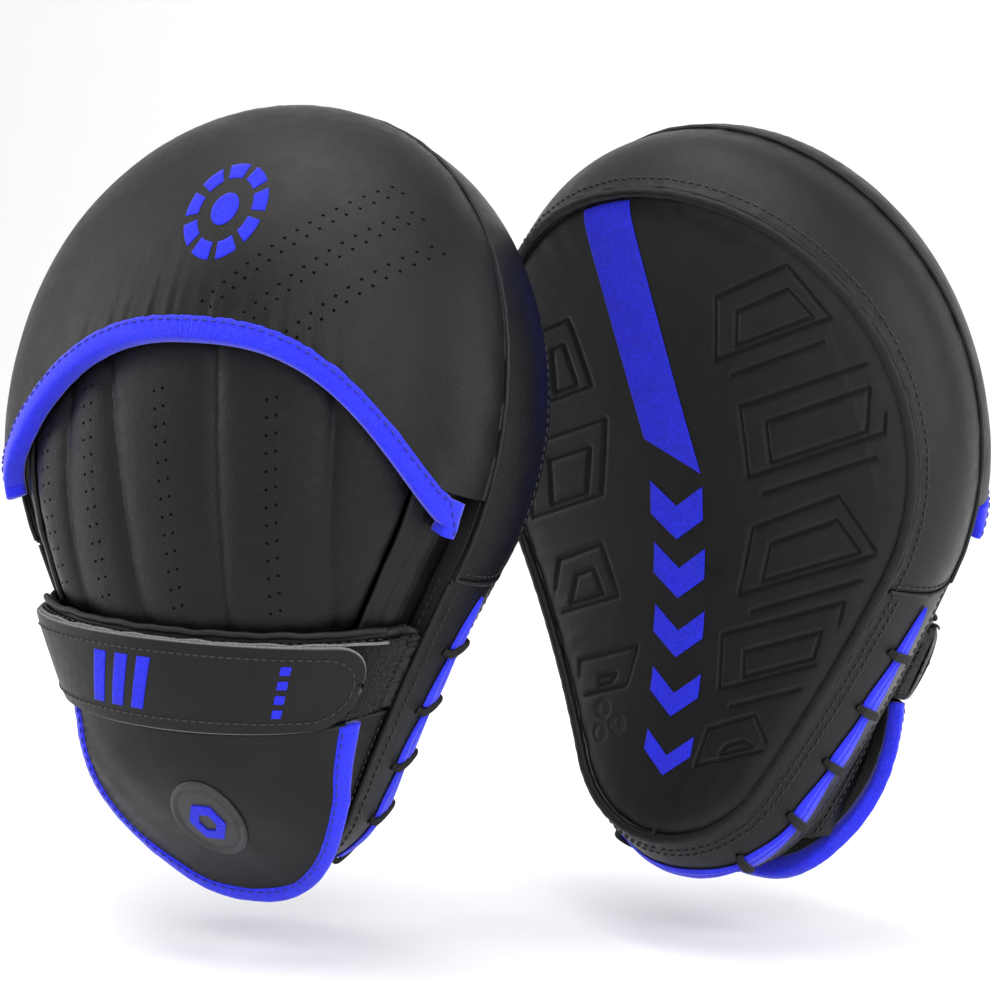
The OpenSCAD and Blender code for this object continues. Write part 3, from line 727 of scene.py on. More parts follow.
def buildPrint(side):
    # wide stripe from the top seam, cut off at a slant, then arrowheads that get thinner towards the wrist
    u = np.linspace(-1, 1, 26)
    v = np.linspace(0, 1, 130)
    vv, uu = gridOf(v, u)
    low = stripe["low"] - stripe["cut"] * uu
    x0 = stripeCentre(240) + stripe["half"] * uu
    high = headZ + np.sqrt((mitt["headRadius"] - 5.2) ** 2 - x0 ** 2)
    z = low + (high - low) * vv
    printedShape(side, "face_stripe", stripeCentre(z) + stripe["half"] * uu, z)
    for k in range(printSpec["count"]):
        z0 = printSpec["top"] - printSpec["pitch"] * k
        bar = printSpec["bar"] * (1 - 0.1 * k)
        half = printSpec["half"] * (1 - 0.03 * k)
        vv, uu = gridOf(np.linspace(-0.5, 0.5, 11), np.linspace(-1, 1, 33))
        z = z0 + bar * vv - printSpec["drop"] * (1 - np.abs(uu))
        x = printSpec["x"] + (printSpec["top"] - z0) * printSpec["lean"] + half * uu
        printedShape(side, "face_arrow_%d" % (k + 1), x, z)


def wrapRun(run):
    return np.where(run > halfRound, run - 2 * halfRound, run)


def wristRuns(gap, count):
    # round the wrist from one side seam to the other, ending gap short of each
    return wrapRun(np.linspace(seamRun + gap, 2 * halfRound - seamRun - gap, count))


# side wall
wallSpec = {"pucker": 0.3, "puckerReach": 5.0, "tuck": 1.4, "seamGap": 0.25,
            "weltRise": 0.1, "weltOut": 0.35, "weltRadius": 0.95, "foldRadius": 0.8}


def wallOut(run, y, out=0.0):
    front = mitt["wallFront"]
    share = np.clip((y - front) / (thick - front), 0, 1)
    swell = mitt["wallSwell"] * np.sin(math.pi * share)
    reach = wallSpec["puckerReach"]
    edge = np.exp(-np.clip(y - front, 0, None) / reach) + 0.7 * np.exp(-(thick - y) / reach)
    side = np.exp(-np.abs(np.abs(run) - seamRun) / 3.0)
    pucker = wallSpec["pucker"] * edge * ripple(run, (8, 13, 21), 5) - 0.5 * side
    x, z = outlineAt(run, swell + pucker + out)
    return bent(x, y, z)


def buildWall(side):
    y = np.concatenate([np.linspace(mitt["wallFront"] - wallSpec["tuck"], 9, 12, endpoint=False),
                        np.linspace(9, thick - 4, 18, endpoint=False), np.linspace(thick - 4, thick, 8)])
    gap = wallSpec["seamGap"]
    for name, runs, node in (("wall_head", np.linspace(-seamRun + gap, seamRun - gap, 420), "wall_upper"),
                             ("wall_wrist", wristRuns(gap, 300), "wall_lower")):
        yy, rr = gridOf(y, runs)
        grid = wallOut(rr, yy)
        sheetPiece(side, name, grid, mitt["leather"], blackLeather, uv=np.stack([rr, yy], -1),
                   replaces=[node], slotName="black_leather")
    # welt where wall and hood are sewn together, and the overlapped side seam
    run = np.linspace(-seamRun, seamRun, 360)
    wx, wz = outlineAt(run, wallSpec["weltOut"] + 0.1 * ripple(run, (9, 15), 4))
    welt = bent(wx, thick + wallSpec["weltRise"], wz)
    tubePiece(side, "hood_seam_welt", welt, wallSpec["weltRadius"], 10, blackLeather,
              slotName="black_leather")
    for hand in (-1, 1):
        yy = np.linspace(mitt["wallFront"] + 0.2, thick - 0.2, 40)
        fold = wallOut(np.full_like(yy, hand * (seamRun + 0.3)), yy, 0.35)
        tubePiece(side, "side_seam_fold_" + ("thumb" if hand > 0 else "little"), fold,
                  wallSpec["foldRadius"], 8, blackLeather, slotName="black_leather")


def buildWallThread(side):
    paths = []

    def row(y, runs, out=0.05):
        paths.append(pathOn(lambda deep: wallOut(runs, np.full_like(runs, y), out - deep)))

    whole = np.linspace(-halfRound + 0.5, halfRound - 0.5, 900)
    lower = wristRuns(3, 420)
    row(mitt["wallFront"] + 2.4, whole)
    row(mitt["wallFront"] + 5.4, lower)
    row(thick - 3.2, lower)
    for hand in (-1, 1):
        yy = np.linspace(mitt["wallFront"] + 1, thick - 1, 60)
        runs = np.full_like(yy, hand * (seamRun - 2.4))
        paths.append(pathOn(lambda deep: wallOut(runs, yy, 0.1 - deep)))
    sew(side, "wall_thread", paths)


# hood
hoodSpec = {"deep": 1.5, "pucker": 0.4, "puckerReach": 9.0, "holeRadius": 0.62, "holePitch": 4.3,
            "seam": mitt["bindingWide"] - 0.8, "lowest": 0.975,
            "rowGap": 3.4, "film": 0.14,
            "ventLines": (((2, 171), (53, 212)), ((18, 169), (63, 206)), ((34, 165), (73.5, 198)))}
markSpec = {"x": 0.5, "z": 197.0, "outer": 15.0, "inner": 10.0, "dashes": 9, "dashTurn": 0.5, "dot": 5.0}


def hoodPoint(angle, share, deep):
    angle, share, deep = np.broadcast_arrays(np.asarray(angle, float), np.asarray(share, float),
                                             np.asarray(deep, float))
    inner = np.clip(share, 0, 0.9985)
    x, z, reach = onRay(angle, inner)
    p = surfacePoint(x, z, domeRise, deep)
    rx = (reach - deep) * np.cos(angle)
    rz = headZ + (reach - deep) * np.sin(angle)
    rim = bent(rx, rimLevel, rz)
    return np.where((share > 0.9999)[..., None], rim, p)


def archAngles(lift, count, extra=0.0):
    start = archAngle(lift) + extra
    return math.pi / 2 + (math.pi / 2 - start) * eased(count)


def hoodWaves(angle, share, low):
    # puckers that gather the skin into the binding and the outer seam
    fromArch = (share - low) * mitt["headRadius"]
    fromRim = (1 - share) * mitt["headRadius"]
    x, z, _ = onRay(angle, share)
    run = x + 0.5 * z * np.sign(x) * stepTo(np.abs(x) / 60)
    w = hoodSpec["pucker"] * np.exp(-fromArch / hoodSpec["puckerReach"]) * ripple(run, (10, 17, 26), 2)
    w = w + 0.22 * np.exp(-fromRim / 7) * ripple(run, (8, 12, 20), 7)
    return w + 0.5 * np.sin(angle * 3 + 1) * np.sin(share * 4) * stepTo(fromArch / 20) * stepTo(fromRim / 20)


def skinStart(angle):
    return np.minimum(hoodSpec["lowest"], archShare(angle, hoodSpec["seam"]))


def skinPoint(x, z, lift):
    # a place on the puckered skin of the hood, lift millimetres above it
    angle = np.arctan2(z - headZ, x)
    share = np.hypot(x, z - headZ) / onRay(angle, np.ones_like(angle))[2]
    return hoodPoint(angle, share, hoodWaves(angle, share, skinStart(angle)) - lift)


def buildHood(side):
    angle = archAngles(hoodSpec["seam"], 260, math.radians(2.0))
    low = skinStart(angle)
    v = np.sin(np.linspace(0, math.pi / 2, 96))
    aa = angle[:, None] + 0 * v[None]
    share = low[:, None] + (1 - low[:, None]) * v[None]
    wave = hoodWaves(aa, share, low[:, None])
    grid = hoodPoint(aa, share, wave)
    grid[:, -1] = hoodPoint(aa[:, -1], share[:, -1], 0 * aa[:, -1])
    x, z, _ = onRay(aa, share)
    uv = np.stack([x, z], -1)
    hood = sheetPiece(side, "hood_leather", grid, hoodSpec["deep"], blackLeather, uv=uv,
                      replaces=["hood_skin"], slotName="black_leather")


def buildHoodBinding(side):
    # a folded tape round the thick edge: a rounded bar, a little uneven, with a sewn row near its top
    angle = archAngles(0, 330)
    low = np.minimum(0.955, archShare(angle, 0))
    high = np.minimum(0.985, archShare(angle, mitt["bindingWide"]))
    loop = np.linspace(0, 2 * math.pi, 20, endpoint=False)
    across = 0.5 - 0.5 * squared(np.cos(loop), 0.45)
    deep = 3.0 - 3.7 * squared(np.sin(loop), 0.6)
    run = angle * mitt["headRadius"]
    wob = 0.16 * ripple(run, (6, 10, 17), 9)
    aa = angle[:, None] + 0 * loop[None]
    share = low[:, None] + (high - low)[:, None] * across[None]
    depth = deep[None] + wob[:, None]
    grid = hoodPoint(aa, np.minimum(share, 0.9985), depth)
    newPiece(side, "hood_binding_tape", grid.reshape(-1, 3), tubeFaces(*grid.shape[:2]), blueTape, "root",
             replaces=["hood_binding"], slotName="blue_binding")
    mid = low + (high - low) * 0.74
    paths = [pathOn(lambda d: hoodPoint(angle[6:-6], mid[6:-6], d - 0.62 + wob[6:-6]))]
    sew(side, "hood_binding_thread", paths, blueThread, slotName="blue_binding", size=(3.6, 2.6, 0.36))


def buildVents(side):
    # three slanting bands of punched holes across the hood, each of two staggered rows
    holes = []
    for (x0, z0), (x1, z1) in hoodSpec["ventLines"]:
        length = math.hypot(x1 - x0, z1 - z0)
        dx, dz = (x1 - x0) / length, (z1 - z0) / length
        for rowOff, start in ((0.0, 0.0), (hoodSpec["rowGap"], 0.5)):
            for k in range(int(length / hoodSpec["holePitch"]) + 1):
                s = (k + start) * hoodSpec["holePitch"]
                holes.append((x0 + dx * s + dz * rowOff, z0 + dz * s - dx * rowOff))
    x, z = np.array(holes).T
    punch(side, "hood_vents", lambda lift: skinPoint(x, z, lift), hoodSpec["holeRadius"], 9, "black_leather")


def buildHoodMark(side):
    # plain ring of dashes and a dot, printed on the hood
    cx, cz, dot = markSpec["x"], markSpec["z"], markSpec["dot"]
    for k in range(markSpec["dashes"]):
        a = np.linspace(0, markSpec["dashTurn"], 9) + k * 2 * math.pi / markSpec["dashes"]
        r = np.linspace(markSpec["inner"], markSpec["outer"], 5)
        rr, aa = gridOf(r, a)
        printOnHood(side, "hood_mark_dash_%d" % (k + 1), cx + rr * np.cos(aa), cz + rr * np.sin(aa))
    u = np.linspace(-1, 1, 9)
    uu, vv = gridOf(u, u)
    x = cx + dot * uu * np.sqrt(1 - vv ** 2 / 2)
    z = cz + dot * vv * np.sqrt(1 - uu ** 2 / 2)
    printOnHood(side, "hood_mark_dot", x, z)


def printOnHood(side, name, x, z):
    sheetPiece(side, name, skinPoint(x, z, hoodSpec["film"]), 0.1, bluePrint, slotName="blue_binding")


# back of the hand
padSpec = {"top": 7.7, "deep": 8.0, "low": strapTop + 0.4, "high": 205.0, "sewn": 2.6, "half": 0.855,
           "ventPitch": 4.6, "ventTop": 150.0, "ventHalf": 1.7, "ventShift": 0.9, "ventRadius": 0.55}


def padSeams(z):
    # the four sewn lines fan out a little towards the fingers; the edges follow the mitt
    w = halfWidth(z)
    up = (z - 88) / 65
    return [-0.62 * w * 0.98, -15.7 - 23.5 * up, 18.8 - 11.5 * up, 57.0 - 5.0 * up]


def padDepth(x, z):
    w = halfWidth(z)
    lines = [-padSpec["half"] * w] + padSeams(z) + [padSpec["half"] * w]
    near = np.full_like(x, 99.0)
    for line in lines:
        near = np.minimum(near, np.abs(x - line))
    groove = np.exp(-near / 4.2)
    hem = np.exp(-np.clip(z - padSpec["low"], 0, None) / 3.0)
    wrinkle = 0.25 * np.exp(-near / 6) * ripple(z, (7, 12, 19), 3) + 0.3 * hem * ripple(x, (9, 14), 6)
    return padSpec["top"] + padSpec["sewn"] * groove + 1.8 * hem + wrinkle


def buildHandPad(side):
    t = np.linspace(-padSpec["half"], padSpec["half"], 170)
    z = np.linspace(padSpec["low"], padSpec["high"], 120)
    zz, tt = gridOf(z, t)
    xx = halfWidth(zz) * tt
    grid = surfacePoint(xx, zz, domeRise, padDepth(xx, zz))
    pad = sheetPiece(side, "hand_back_padding", grid, padSpec["deep"] - 1, softLeather,
                     uv=np.stack([xx, zz], -1), replaces=["hand_pad"], slotName="soft_leather", bulge=0.2)
    # vent rows down the middle of the channels
    holes = []
    for lane in range(4):
        for z0 in np.arange(padSpec["low"] + 7, padSpec["ventTop"], padSpec["ventPitch"]):
            seams = [float(-padSpec["half"] * halfWidth(z0))] + [float(s) for s in padSeams(np.array(z0))]
            x0 = (seams[lane] + seams[lane + 1]) / 2
            holes.append((x0 - padSpec["ventHalf"], z0))
            holes.append((x0 + padSpec["ventHalf"], z0 + padSpec["ventShift"]))
    hx, hz = np.array(holes).T
    punch(side, "hand_pad_vents", lambda lift: surfacePoint(hx, hz, domeRise, padDepth(hx, hz) - lift),
          padSpec["ventRadius"], 8, "soft_leather")


def buildGussets(side):
    for hand, node in ((1, "thumb_gusset"), (-1, "pinky_gusset")):
        t = np.sin(np.linspace(math.radians(60.5), math.pi / 2, 26))
        z = np.linspace(padSpec["low"], mitt["archLow"] + 22, 50)
        zz, tt = gridOf(z, t * hand)
        out = np.abs(tt)
        fold = 0.5 * np.exp(-((out - 0.945) / 0.012) ** 2) - 0.35 * np.exp(-((out - 0.975) / 0.01) ** 2)
        grid = domePoint(tt, zz, 8.3 + fold + 0.2 * ripple(zz, (11, 17), 2 + hand))
        sheetPiece(side, node.replace("pinky", "little_finger") + "_leather", grid, 1.8, softLeather,
                   replaces=[node], slotName="soft_leather")


def buildCuffSides(side):
    # the sheet that closes the cuff between the wall and the flap, with a sewn fold down its middle
    for hand, node in ((1, "thumb_cuff_side"), (-1, "pinky_cuff_side")):
        z = np.linspace(cuffSide["low"], flapSpec["top"] - 0.8, 46)
        v = np.linspace(0, 1, 26)
        zz, vv = gridOf(z, v)
        fold = 0.6 * np.exp(-((vv - 0.5) / 0.05) ** 2)
        grid = cuffSidePoint(zz, vv, fold + 0.25 * ripple(zz, (9, 16), 2 + hand) * vv, hand)
        name = "cuff_side_" + ("thumb" if hand > 0 else "little_finger")
        sheetPiece(side, name, grid, 1.6, softLeather, replaces=[node], slotName="soft_leather")
        paths = []
        line = np.linspace(cuffSide["low"] + 1, flapSpec["top"] - 2, 70)
        for v0 in (0.07, 0.42, 0.58):
            top = cuffSidePoint(line, v0 + 0 * line, 0.25 + 0 * line, hand)
            out = cuffSidePoint(line, v0 + 0 * line, 1.3 + 0 * line, hand) - top
            paths.append((top, out))
        sew(side, name + "_thread", paths)


def cuffSidePoint(z, v, out, hand):
    share = (flapSpec["top"] - z) / flapLong
    x0 = halfWidth(z) - cuffSide["foot"]
    x1 = flapSpec["corner"] * flapWide(share) + hand * flapLay(share) - cuffSide["tuck"]
    foot = bent(x0, rimLevel, z)
    top = surfacePoint(x1, z, flapRise, cuffSide["deep"])
    p = foot + (top - foot) * v[..., None]
    p[..., 0] += cuffSide["belly"] * 4 * v * (1 - v) + out
    return p * [hand, 1, 1]


# cuff
cuffSpec = {"yokeTop": 4.3, "yokeDeep": 3.0, "bandTop": 2.5, "bandDeep": 1.5, "lift": 0.45, "strapDeep": 2.5,
            "pile": 0.55, "hemLow": 0.4, "hemTop": 4.4}


def buildYoke(side):
    pileHeights = np.random.default_rng(7)
    for name, low, high, top, deep, material, node in (
            ("cuff_yoke_leather", mitt["strapLow"], strapTop + 1.4, cuffSpec["yokeTop"], cuffSpec["yokeDeep"],
             softLeather, "cuff_yoke"),
            ("loop_band_pile", mitt["strapLow"] + 0.4, strapTop - 0.4, cuffSpec["bandTop"],
             cuffSpec["bandDeep"], loopPile, "loop_band")):
        fine = 1 if node == "cuff_yoke" else 2
        t = eased(150 * fine)
        zz, tt = gridOf(np.linspace(low, high, 22 * fine), t)
        tuft = 0.0 if node == "cuff_yoke" else cuffSpec["pile"] * pileHeights.random(zz.shape)
        grid = domePoint(tt, zz, top + 0.12 * ripple(tt * 60, (9, 15), 3) - tuft)
        sheetPiece(side, name, grid, deep, material, replaces=[node],
                   slotName="soft_leather" if node == "cuff_yoke" else "loop_pile")
    # layered hems between the hand padding and the strap
    tt = np.sin(np.linspace(math.radians(-66), math.radians(70), 120))
    for k, (z0, top, radius, material) in enumerate(((strapTop + 2.2, cuffSpec["hemTop"], 1.25, softLeather),
                                                    (strapTop + cuffSpec["hemLow"], 1.4, 0.55, rawEdge))):
        path = domePoint(tt, z0 + 0.25 * ripple(tt * 70, (12, 21), k), top)
        tubePiece(side, "cuff_hem_%d" % (k + 1), path, radius, 10, material, slotName="soft_leather")
    row = strapTop + cuffSpec["hemLow"]
    sew(side, "cuff_hem_thread", [pathOn(lambda d: domePoint(tt, row, cuffSpec["hemTop"] - 1.2 + d))])


strapSpec = {"fold": -0.93, "split": 0.2, "end": 0.9, "corner": 0.14, "perMm": 0.0126,
             "power": 2.3, "turnAt": 0.74, "sewnIn": 2.8, "rimDeep": 0.9, "rimRadius": 0.6, "film": 0.49}


def strapHalf(t, inset=0.0):
    # half width of the strap at t, or of a line sewn inset millimetres inside its edge
    end = strapSpec["end"] - inset * strapSpec["perMm"]
    s = np.clip((t - end + strapSpec["corner"]) / strapSpec["corner"], 0, 1)
    power = strapSpec["power"]
    return (mitt["strapWide"] / 2 - inset) * np.clip(1 - s ** power, 0, 1) ** (1 / power)


def strapGrid(t, v, deep):
    mid = mitt["strapLow"] + mitt["strapWide"] / 2
    tt, vv = gridOf(t, v)
    return domePoint(tt, mid + strapHalf(tt) * vv, deep - cuffSpec["lift"])


def buildStrap(side):
    # two plies of leather, cut and left raw at the edge, sewn all round, with a free rounded end
    start = math.asin(strapSpec["fold"])
    t = np.concatenate([np.sin(np.linspace(start, math.asin(strapSpec["turnAt"]), 150, endpoint=False)),
                        strapSpec["end"] - 0.16 * np.cos(np.linspace(0, math.pi / 2, 44))])
    v = eased(30)
    puff = 0.35 * (1 - np.abs(v)[None] ** 6) + 0 * t[:, None]
    grid = strapGrid(t, v, -puff)
    main = sheetPiece(side, "strap_leather", grid, cuffSpec["strapDeep"], strapLeather, body=None,
                      replaces=["strap_base", "strap_tip"], slotName="strap_leather")
    mid = mitt["strapLow"] + mitt["strapWide"] / 2

    def around(inset, deep):
        end = strapSpec["end"] - inset * strapSpec["perMm"]
        turn = np.linspace(0, math.pi / 2, 16, endpoint=False)
        corner = end - strapSpec["corner"] * (1 - np.sin(turn) ** 0.9)
        straight = np.linspace(strapSpec["fold"] + 0.01, end - strapSpec["corner"], 110, endpoint=False)
        half = np.concatenate([straight, corner, [end - 0.002, end - 0.0002]])
        tt = np.concatenate([half, [end], half[::-1]])
        way = np.concatenate([-np.ones_like(half), [0.0], np.ones_like(half)])
        return domePoint(tt, mid + strapHalf(tt, inset) * way, deep - cuffSpec["lift"])

    raw = tubePiece(side, "strap_raw_edge", around(0.0, strapSpec["rimDeep"]), strapSpec["rimRadius"], 8,
                    rawEdge, None, slotName="strap_leather")
    thread = sew(side, "strap_thread", [pathOn(lambda d: around(strapSpec["sewnIn"], d - 0.34))], body=None,
                 size=(3.0, 2.2, 0.36))
    marks = []
    shapes = [(-0.44 + 0.13 * k, 0.075, -0.6, 0.6, 0.05) for k in range(3)]
    shapes += [(0.56, 0.045, -0.62 + 0.34 * k, -0.42 + 0.34 * k, 0.0) for k in range(4)]
    for k, (t0, wide, v0, v1, slant) in enumerate(shapes):
        gt, gv = gridOf(np.linspace(t0, t0 + wide, 7), np.linspace(v0, v1, 9))
        place = domePoint(gt + slant * gv, mid + strapHalf(gt) * gv, -cuffSpec["lift"] - strapSpec["film"])
        marks.append(sheetPiece(side, "strap_mark_%d" % (k + 1), place, 0.1, bluePrint, body=None,
                                slotName="blue_binding"))
    start = toFrame(side, domePoint(strapSpec["split"] - 0.07, mid, 0))
    end = toFrame(side, domePoint(strapSpec["split"] + 0.07, mid, 0))
    for piece in [main, raw, thread] + marks:
        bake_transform(piece)
    # sewn fold where the strap leaves the rim on the little-finger side
    t = np.sin(np.linspace(-math.pi / 2, math.asin(-0.925), 26))
    grid = strapGrid(t, v, -0.2 * (1 - np.abs(v)[None] ** 6) + 0 * t[:, None])
    fold = sheetPiece(side, "strap_fold_leather", grid, cuffSpec["strapDeep"], strapLeather, body=None,
                      replaces=["strap_fold"], slotName="strap_leather")
    start = toFrame(side, domePoint(-0.985, mid, 0))
    end = toFrame(side, domePoint(-0.935, mid, 0))
    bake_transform(fold)


flapSpec = {"top": mitt["strapLow"] - 0.6, "half": 56.0, "lowHalf": 43.0, "lay": 5.0, "corner": 0.97,
            "power": 2.6, "edge": 5.2, "deep": 3.0, "shift": 1.9,
            "badgeX": 8.0, "badgeZ": 35.0, "badgeRadius": 13.5}
flapLong = flapSpec["top"] - 2
cuffSide = {"low": 15.0, "foot": 2.5, "tuck": 9.0, "deep": 9.8, "belly": 0.8}


def flapWide(share):
    return flapSpec["half"] + (flapSpec["lowHalf"] - flapSpec["half"]) * share


def flapLay(share):
    # the flap lies a little towards the thumb side, more so at its free end
    return flapSpec["lay"] * (1 + 0.6 * share)


def flapRise(x, z):
    q = np.clip(1 - (x / halfWidth(mitt["strapLow"])) ** 2, 0.01, 1)
    return crownHeight(z) * q ** mitt["handRound"]


def flapPoint(u, v, inset, deep):
    u, v, inset, deep = np.broadcast_arrays(*[np.asarray(a, float) for a in (u, v, inset, deep)])
    bottom = (1 - np.abs(u) ** flapSpec["power"]) ** (1 / flapSpec["power"])
    drop = (flapLong - inset) * v * bottom
    z = flapSpec["top"] - drop
    x = u * (flapWide(drop / flapLong) - inset) + flapLay(drop / flapLong)
    return surfacePoint(x, z, flapRise, deep + flapSpec["shift"])


def buildFlap(side):
    bendStart = tuple(toFrame(side, surfacePoint(0.0, flapSpec["top"] + 1, flapRise, 2.0)))
    bendEnd = tuple(toFrame(side, surfacePoint(0.0, flapSpec["top"] - 13, flapRise, 2.0)))
    u = flapSpec["corner"] * eased(110)
    v = np.linspace(0, 1, 60)
    uu, vv = gridOf(u, v)
    soft = 0.25 * ripple(uu * 40, (17, 29), 2) * ripple(vv * 50, (23, 31), 5)
    made = []
    grid = flapPoint(uu, vv, flapSpec["edge"] - 2.2, soft)
    made.append(sheetPiece(side, "cuff_flap_leather", grid, flapSpec["deep"], blackLeather, body=None,
                           replaces=["cuff_flap"], slotName="black_leather"))
    grid = flapPoint(uu, vv, flapSpec["edge"] - 2.2, 3.2 + soft)
    made.append(sheetPiece(side, "flap_fleece", grid, 1.5, fleece, body=None, replaces=["flap_lining"],
                           slotName="fleece"))
    # its flat size: only the fleece's length down the flap is taken, along each line of the grid
    across = np.linalg.norm(np.diff(grid, axis=1), axis=2).sum(1)
    # blue tape folded round the flap's edge
    side1 = [(-flapSpec["corner"], s) for s in np.linspace(0.0, 1, 30, endpoint=False)]
    under = [(a, 1.0) for a in flapSpec["corner"] * eased(90)]
    side2 = [(flapSpec["corner"], s) for s in np.linspace(1, 0.0, 30)]
    edge = np.array(side1 + under + side2)
    loop = np.linspace(0, 2 * math.pi, 18, endpoint=False)
    across = 0.5 - 0.5 * squared(np.cos(loop), 0.5)
    depth = 2.4 - 3.1 * squared(np.sin(loop), 0.55)
    run = np.linspace(0, 210, len(edge))
    wob = 0.15 * ripple(run, (6, 11, 17), 4)
    grid = flapPoint(edge[:, 0, None], edge[:, 1, None], across[None] * flapSpec["edge"] - 0.2,
                     depth[None] + wob[:, None])
    made.append(newPiece(side, "flap_binding_tape", grid.reshape(-1, 3), tubeFaces(*grid.shape[:2]), blueTape,
                         None, replaces=["flap_binding"], slotName="blue_binding"))
    paths = [pathOn(lambda d: flapPoint(edge[:, 0], edge[:, 1], 3.9, d - 0.62 + wob))]
    made.append(sew(side, "flap_thread", paths, blueThread, None, "blue_binding", (3.6, 2.5, 0.33)))
    for piece in made:
        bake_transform(piece)
    # round badge: raised rim, sunk field, raised hexagon
    r, a = gridOf(np.linspace(0.001, 1, 34), np.linspace(0, 2 * math.pi, 97))
    x = flapSpec["badgeX"] + flapSpec["badgeRadius"] * r * np.cos(a)
    z = flapSpec["badgeZ"] + flapSpec["badgeRadius"] * r * np.sin(a)
    height = 0.75 + 0.5 * np.exp(-((r - 0.9) / 0.05) ** 2) - 0.5 * np.exp(-((r - 0.8) / 0.04) ** 2)
    height = np.where(r > 0.985, 0.1, height)
    grid = surfacePoint(x, z, flapRise, flapSpec["shift"] - height)
    sheetPiece(side, "flap_badge_disc", grid, 0.5, badgeRubber, body="_cuff_flap_body", replaces=["badge"],
               slotName="rubber_badge", bulge=0.05)
    hexR = 6.8 * math.cos(math.pi / 6) / np.cos((a % (math.pi / 3)) - math.pi / 6)
    ringShare = 0.5 + 0.5 * r
    x = flapSpec["badgeX"] + hexR * ringShare * np.cos(a)
    z = flapSpec["badgeZ"] + hexR * ringShare * np.sin(a)
    grid = surfacePoint(x, z, flapRise, flapSpec["shift"] - 1.35)
    sheetPiece(side, "flap_badge_hexagon", grid, 0.9, bluePrint, body="_cuff_flap_body",
               slotName="blue_binding", bulge=0.05)


# lace on the lower wall
laceSpec = {"mid": thick * 0.57, "half": 5.5, "start": 5.0, "loops": 5, "cord": 0.72, "ridge": 0.2,
            "rise": 1.25}
laceRun = 2 * (halfRound - seamRun - laceSpec["start"])


def lacePlace(u, y, out):
    return wallOut(wrapRun(seamRun + laceSpec["start"] + u * laceRun), y, out)


def loopPlaces():
    first = [(k + 0.5) / (2 * laceSpec["loops"] + 2) + 0.03 for k in range(laceSpec["loops"])]
    return np.array(first + [1 - u for u in reversed(first)])


def buildLace(side):
    # brushed tape held down by loops of cord; below each loop it starts narrow and spreads up to the next
    u = np.linspace(0, 1, 620)
    down = np.minimum(u, 1 - u)
    stops = np.concatenate([[0.0], loopPlaces()[:laceSpec["loops"]], [0.5]])
    seat = np.clip(np.searchsorted(stops, down, side="right") - 1, 0, len(stops) - 2)
    share = (down - stops[seat]) / (stops[seat + 1] - stops[seat])
    first = seat == 0
    full = np.where(first, np.sqrt(np.clip(share, 0.02, 1)), 0.5 + 0.5 * stepTo(share / 0.85))
    full = np.where(first, full * 0.85, full)
    v = eased(26)
    uu, vv = gridOf(u, v)
    ff = full[:, None] + 0 * vv
    folds = laceSpec["ridge"] * np.cos(vv * 10 + 0.8 * np.sin(uu * 55)) * (1 - vv ** 4)
    out = 0.45 + laceSpec["rise"] * (0.5 + 0.5 * ff) * (1 - vv ** 2) ** 0.45 + folds
    grid = lacePlace(uu, laceSpec["mid"] + vv * laceSpec["half"] * ff + 0.3 * np.sin(uu * 37), out)
    sheetPiece(side, "lace_tape_blue", grid, 0.4, blueTape, replaces=["lace_tape"], slotName="blue_binding")
    points, faces, base = [], [], 0
    eyes, ways = [], []
    for place in loopPlaces():
        lean = 1.3 * (1 if place < 0.5 else -1) / laceRun
        for strand in (-1, 0, 1):
            s = np.linspace(-1, 1, 30)
            y = laceSpec["mid"] + s * (laceSpec["half"] + 1.3 + 0.25 * (strand == 0))
            out = -0.7 + 2.75 * stepTo((1 - np.abs(s)) / 0.2) + 0.2 * (strand == 0)
            path = lacePlace(place + 1.05 * strand / laceRun * (1 - 0.5 * s ** 4) + lean * s, y, out)
            p, f = tubePoints(path, laceSpec["cord"], 8)
            points.append(p)
            faces += [tuple(base + i for i in face) for face in f]
            base += len(p)
        for way in (-1, 1):
            y = laceSpec["mid"] + way * (laceSpec["half"] + 1.5)
            eyes.append(lacePlace(np.array(place + lean * way), np.array(y), 0.12))
            ways.append(lacePlace(np.array(place + lean * way), np.array(y), 1.12) - eyes[-1])
    newPiece(side, "lace_cord_loops", np.concatenate(points), faces, blackCord, "root",
             replaces=["lace_loops"], slotName="webbing")
    # the eyelets are dark discs of painted shade where the cord goes into the wall
    points, faces = discMesh(np.array(eyes), np.array(ways), 1.25, 12, 0.1)
    newPiece(side, "lace_eyelets", points, faces, holeShade, "root", slotName="black_leather")


# palm side
palmSpec = {"edge": 1.9, "threadRise": 0.05, "rimRise": 0.2, "rimIn": 0.9, "rimRadius": 1.15}
gripSpec = {"radius": 21.0, "rise": 12.0, "seamDeep": 0.35, "below": 2.0}


def buildPalm(side):
    rows, cols = 110, 90
    z = mitt["length"] / 2 - (mitt["length"] / 2 - palmSpec["edge"]) * np.cos(np.linspace(0, math.pi, rows))
    t = np.sin(np.linspace(-1, 1, cols) * 1.45) / math.sin(1.45)
    zz, tt = gridOf(z, t)
    xx = halfWidth(zz, 1.85) * tt
    dip = 0.25 * ripple(xx, (31, 47), 2) * ripple(zz, (29, 53), 1)
    grid = bent(xx, thick - np.abs(dip), zz)
    sheetPiece(side, "palm_leather", grid, 1.8, softLeather, replaces=["palm_panel"], slotName="soft_leather")
    paths = []
    runs = wristRuns(2, 400)
    for inset in (5.0, 13.0):
        px, pz = outlineAt(runs, -inset)
        line = bent(px, thick + palmSpec["threadRise"], pz)
        up = bent(px, thick + 1, pz) - line
        paths.append((line, up))
    sew(side, "palm_thread", paths)
    # rolled edge on the rim of the lower wall
    rx, rz = outlineAt(runs, -palmSpec["rimIn"])
    rim = bent(rx, thick + palmSpec["rimRise"], rz)
    tubePiece(side, "wrist_rim_piping", rim, palmSpec["rimRadius"], 10, softLeather, slotName="piping")


